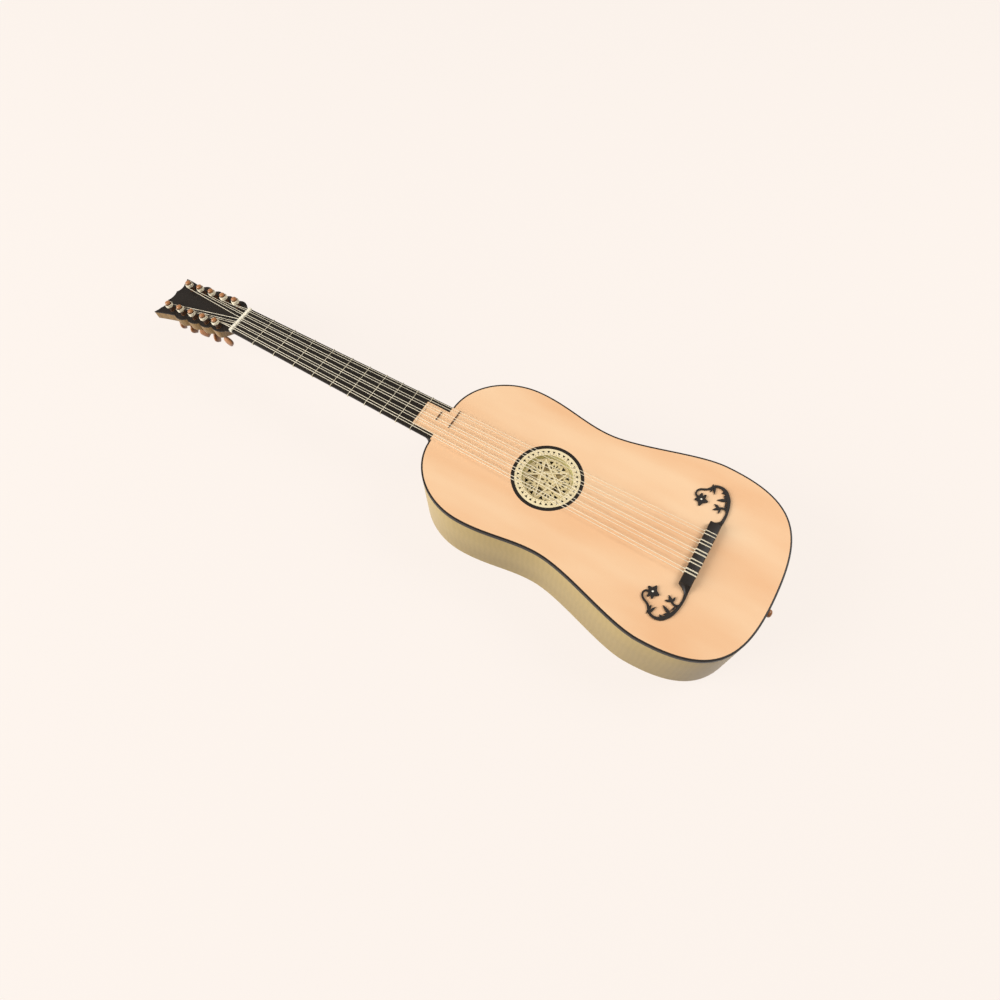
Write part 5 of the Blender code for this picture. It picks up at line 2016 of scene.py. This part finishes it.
    def add_moustache(self, side: int) -> None:
        """One fretwork piece, its shapes joined into one, with a bone dot in its flower.

        Args:
            side: 1 for the treble end and -1 for the bass end.
        """
        low = TOP + self.foot
        meshes = []
        for index, shape in enumerate(self.vine_shapes()):
            bm = bmesh.new()
            top = low + self.plate + PLAN.seam - index * self.layer
            add_plate(bm, placed(shape), low + index * self.layer / 2, top)
            meshes.append(bm)
        root = bmesh.new()
        add_skin(root, self.root_rings())
        meshes.append(root)
        vine = combined(meshes[0], meshes[1:], "UNION")
        bm = bmesh.new()
        dot = ((0.0, 0.0), (self.dot_radius, 0.0), (self.dot_radius, MM / 5), (0.0, MM / 3))
        add_turning(bm, dot, self.dot_steps)
        place = Vector((self.bloom[0], along(self.bloom[1]), low + self.plate + PLAN.seam - MM / 10))
        bmesh.ops.translate(bm, vec=place, verts=bm.verts)
        name = "treble" if side > 0 else "bass"
        for mesh in (vine, bm):
            bmesh.ops.scale(mesh, vec=(side, 1.0, 1.0), verts=mesh.verts)
        wood = EBONY.running(Grain.ALONG_X)
        piece = make_piece(f"ebony_moustache_{name}", vine, [wood], [f"moustache_{name}"])
        bevel = piece.modifiers.new("eased", "BEVEL")
        bevel.width, bevel.segments, bevel.limit_method = self.vine_round, 2, "ANGLE"
        bevel.angle_limit = math.radians(SHARP)
        make_piece(f"bone_dot_{name}", bm, [BONE])


# End button and inner pieces


@dataclass
class EndButton:
    """The turned button at the tail."""

    height: float = 0.045
    radius: float = 0.0052
    reach: float = 0.0118
    shank: float = 0.0030
    sunk: float = 0.0100
    steps: int = 32
    shape: Pairs = (
        (0.0, 1.0), (0.30, 0.995), (0.55, 0.97), (0.78, 0.915), (0.93, 0.83), (1.0, 0.71), (0.95, 0.58),
        (0.80, 0.46), (0.64, 0.34), (0.60, 0.26), (0.66, 0.20), (0.84, 0.15), (0.88, 0.09), (0.84, 0.02),
    )

    def build(self) -> None:
        """Builds and dresses the button."""
        profile = [(self.radius * wide, self.reach * high) for wide, high in self.shape]
        profile += [(self.shank, self.reach * self.shape[-1][1]), (self.shank, -self.sunk), (0.0, -self.sunk)]
        bm = bmesh.new()
        add_turning(bm, profile, self.steps)
        place = Matrix.Translation((0.0, along(OUTLINE.tail_at), self.height))
        bmesh.ops.transform(bm, matrix=place @ Matrix.Rotation(math.pi / 2, 4, "X"), verts=bm.verts)
        make_piece("plum_end_button", bm, [PLUM], ["end_button"])


@dataclass
class InnerPieces:
    """Linings, blocks and bars, which are seen through the rose and keep their shapes."""

    lime: tuple[str, ...] = (
        "lining_top_treble", "lining_top_bass", "lining_back_treble", "lining_back_bass", "tail_block",
        "neck_block",
    )
    spruce: tuple[str, ...] = (
        "soundboard_bar_upper", "soundboard_bar_lower", "back_bar_upper", "back_bar_lower",
    )

    def build(self) -> None:
        """Gives each inner piece its wood."""
        for names, wood in ((self.lime, LIME), (self.spruce, BAR_SPRUCE)):
            for name in names:
                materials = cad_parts[name].data.materials
                materials.clear()
                materials.append(wood.material())
                LOG.info("%s is dressed in %s", name, wood.name)


# Studio


@dataclass
class Studio:
    """Pale floor, soft light and the camera.

    Each lamp is a name, a place, the length of its side and its power in watts.
    """

    floor_colour: str = "FCF3EC"
    floor_size: float = 12.0
    floor_shade: str = "746C64"
    floor_glow: float = 0.92
    floor_gap: float = 0.0002
    world_colour: str = "FFFCF7"
    world_strength: float = 0.3
    lamps: tuple[tuple[str, Triple, float, float], ...] = (
        ("key", (-2.05, 2.15, 1.6), 2.4, 144.0), ("tail", (0.9, -1.2, 1.5), 1.0, 20.0),
    )
    aim: Triple = (0.0, 0.0, 0.05)
    lens: float = 26.33
    sensor: float = 36.0
    clip_start: float = 0.01
    right: Triple = (0.5107, -0.8597, -0.0072)
    down: Triple = (-0.775, -0.4568, -0.4367)
    ahead: Triple = (0.3722, 0.2286, -0.8996)
    place: Triple = (-0.37566, 0.02688, 0.77644)

    def build(self) -> None:
        """Builds the floor, the lights and the camera."""
        self.add_floor()
        for lamp in self.lamps:
            self.add_light(*lamp)
        self.set_world()
        self.add_camera()
        bpy.context.scene.view_settings.view_transform = "Standard"

    def add_floor(self) -> None:
        """A wide pale floor just under the back, seen in its own colour but throwing back less light."""
        bm = bmesh.new()
        bmesh.ops.create_grid(bm, x_segments=1, y_segments=1, size=self.floor_size / 2)
        bmesh.ops.translate(bm, vec=(0.0, 0.0, -self.floor_gap), verts=bm.verts)
        floor = add_mesh("floor", bm)
        material, tree = new_tree("painted_board")
        colour = linear(self.floor_colour)
        rays = add_node(tree, "ShaderNodeLightPath").node.outputs
        seen = rays["Is Camera Ray"]
        for ray in ("Is Glossy Ray", "Is Transmission Ray"):
            seen = add_node(tree, "ShaderNodeMath", {0: seen, 1: rays[ray]}, operation="MAXIMUM")
        tones = {0: seen, 6: linear(self.floor_shade), 7: colour}
        paint = add_node(tree, "ShaderNodeMix", tones, 2, data_type="RGBA")
        diffuse = add_node(tree, "ShaderNodeBsdfDiffuse", {"Color": paint})
        glow = add_node(tree, "ShaderNodeEmission", {"Color": colour, "Strength": 1.0})
        share = add_node(tree, "ShaderNodeMath", {0: seen, 1: self.floor_glow}, operation="MULTIPLY")
        mixed = add_node(tree, "ShaderNodeMixShader", {0: share, 1: diffuse, 2: glow})
        tree.links.new(mixed, tree.nodes["Material Output"].inputs["Surface"])
        floor.data.materials.append(material)

    def add_light(self, name: str, place: Triple, size: float, power: float) -> None:
        """A soft square lamp that looks at the guitar.

        Args:
            name: Name of the lamp.
            place: Where it hangs.
            size: Length of its side.
            power: Its power in watts.
        """
        data = bpy.data.lights.new(name, "AREA")
        data.size, data.energy = size, power
        lamp = add_object(name, data)
        lamp.location = place
        lamp.rotation_euler = (Vector(self.aim) - Vector(place)).to_track_quat("-Z", "Y").to_euler()

    def set_world(self) -> None:
        """An even surround, which the camera sees in the floor's colour."""
        world = bpy.data.worlds.new("surround")
        world.use_nodes = True
        tree = world.node_tree
        tree.nodes.remove(tree.nodes["Background"])
        around = {"Color": linear(self.world_colour), "Strength": self.world_strength}
        lit = add_node(tree, "ShaderNodeBackground", around)
        behind = {"Color": linear(self.floor_colour), "Strength": 1.0}
        seen = add_node(tree, "ShaderNodeBackground", behind)
        camera = add_node(tree, "ShaderNodeLightPath", out="Is Camera Ray")
        mixed = add_node(tree, "ShaderNodeMixShader", {0: camera, 1: lit, 2: seen})
        tree.links.new(mixed, tree.nodes["World Output"].inputs["Surface"])
        bpy.context.scene.world = world

    def add_camera(self) -> None:
        """The camera at the photograph's place and angle."""
        data = bpy.data.cameras.new("camera")
        data.lens, data.sensor_width, data.clip_start = self.lens, self.sensor, self.clip_start
        camera = add_object("camera", data)
        axes = (Vector(self.right), -Vector(self.down), -Vector(self.ahead))
        turn = Matrix([list(axis) for axis in axes]).transposed().to_4x4()
        x, y, z = self.place
        camera.matrix_world = Matrix.Translation((x, along(y), TOP + z)) @ turn
        bpy.context.scene.camera = camera


def main() -> None:
    """Builds every sub-assembly in order."""
    logging.basicConfig(level=logging.INFO, format="%(message)s")
    parts = (
        Studio(), SoundBox(), Rose(), Neck(), HEAD, Pegs(), Bridge(), STRINGS, EndButton(), InnerPieces(),
    )
    for part in parts:
        part.build()
        LOG.info("%s is built", type(part).__name__)


if __name__ == "__main__":
    main()
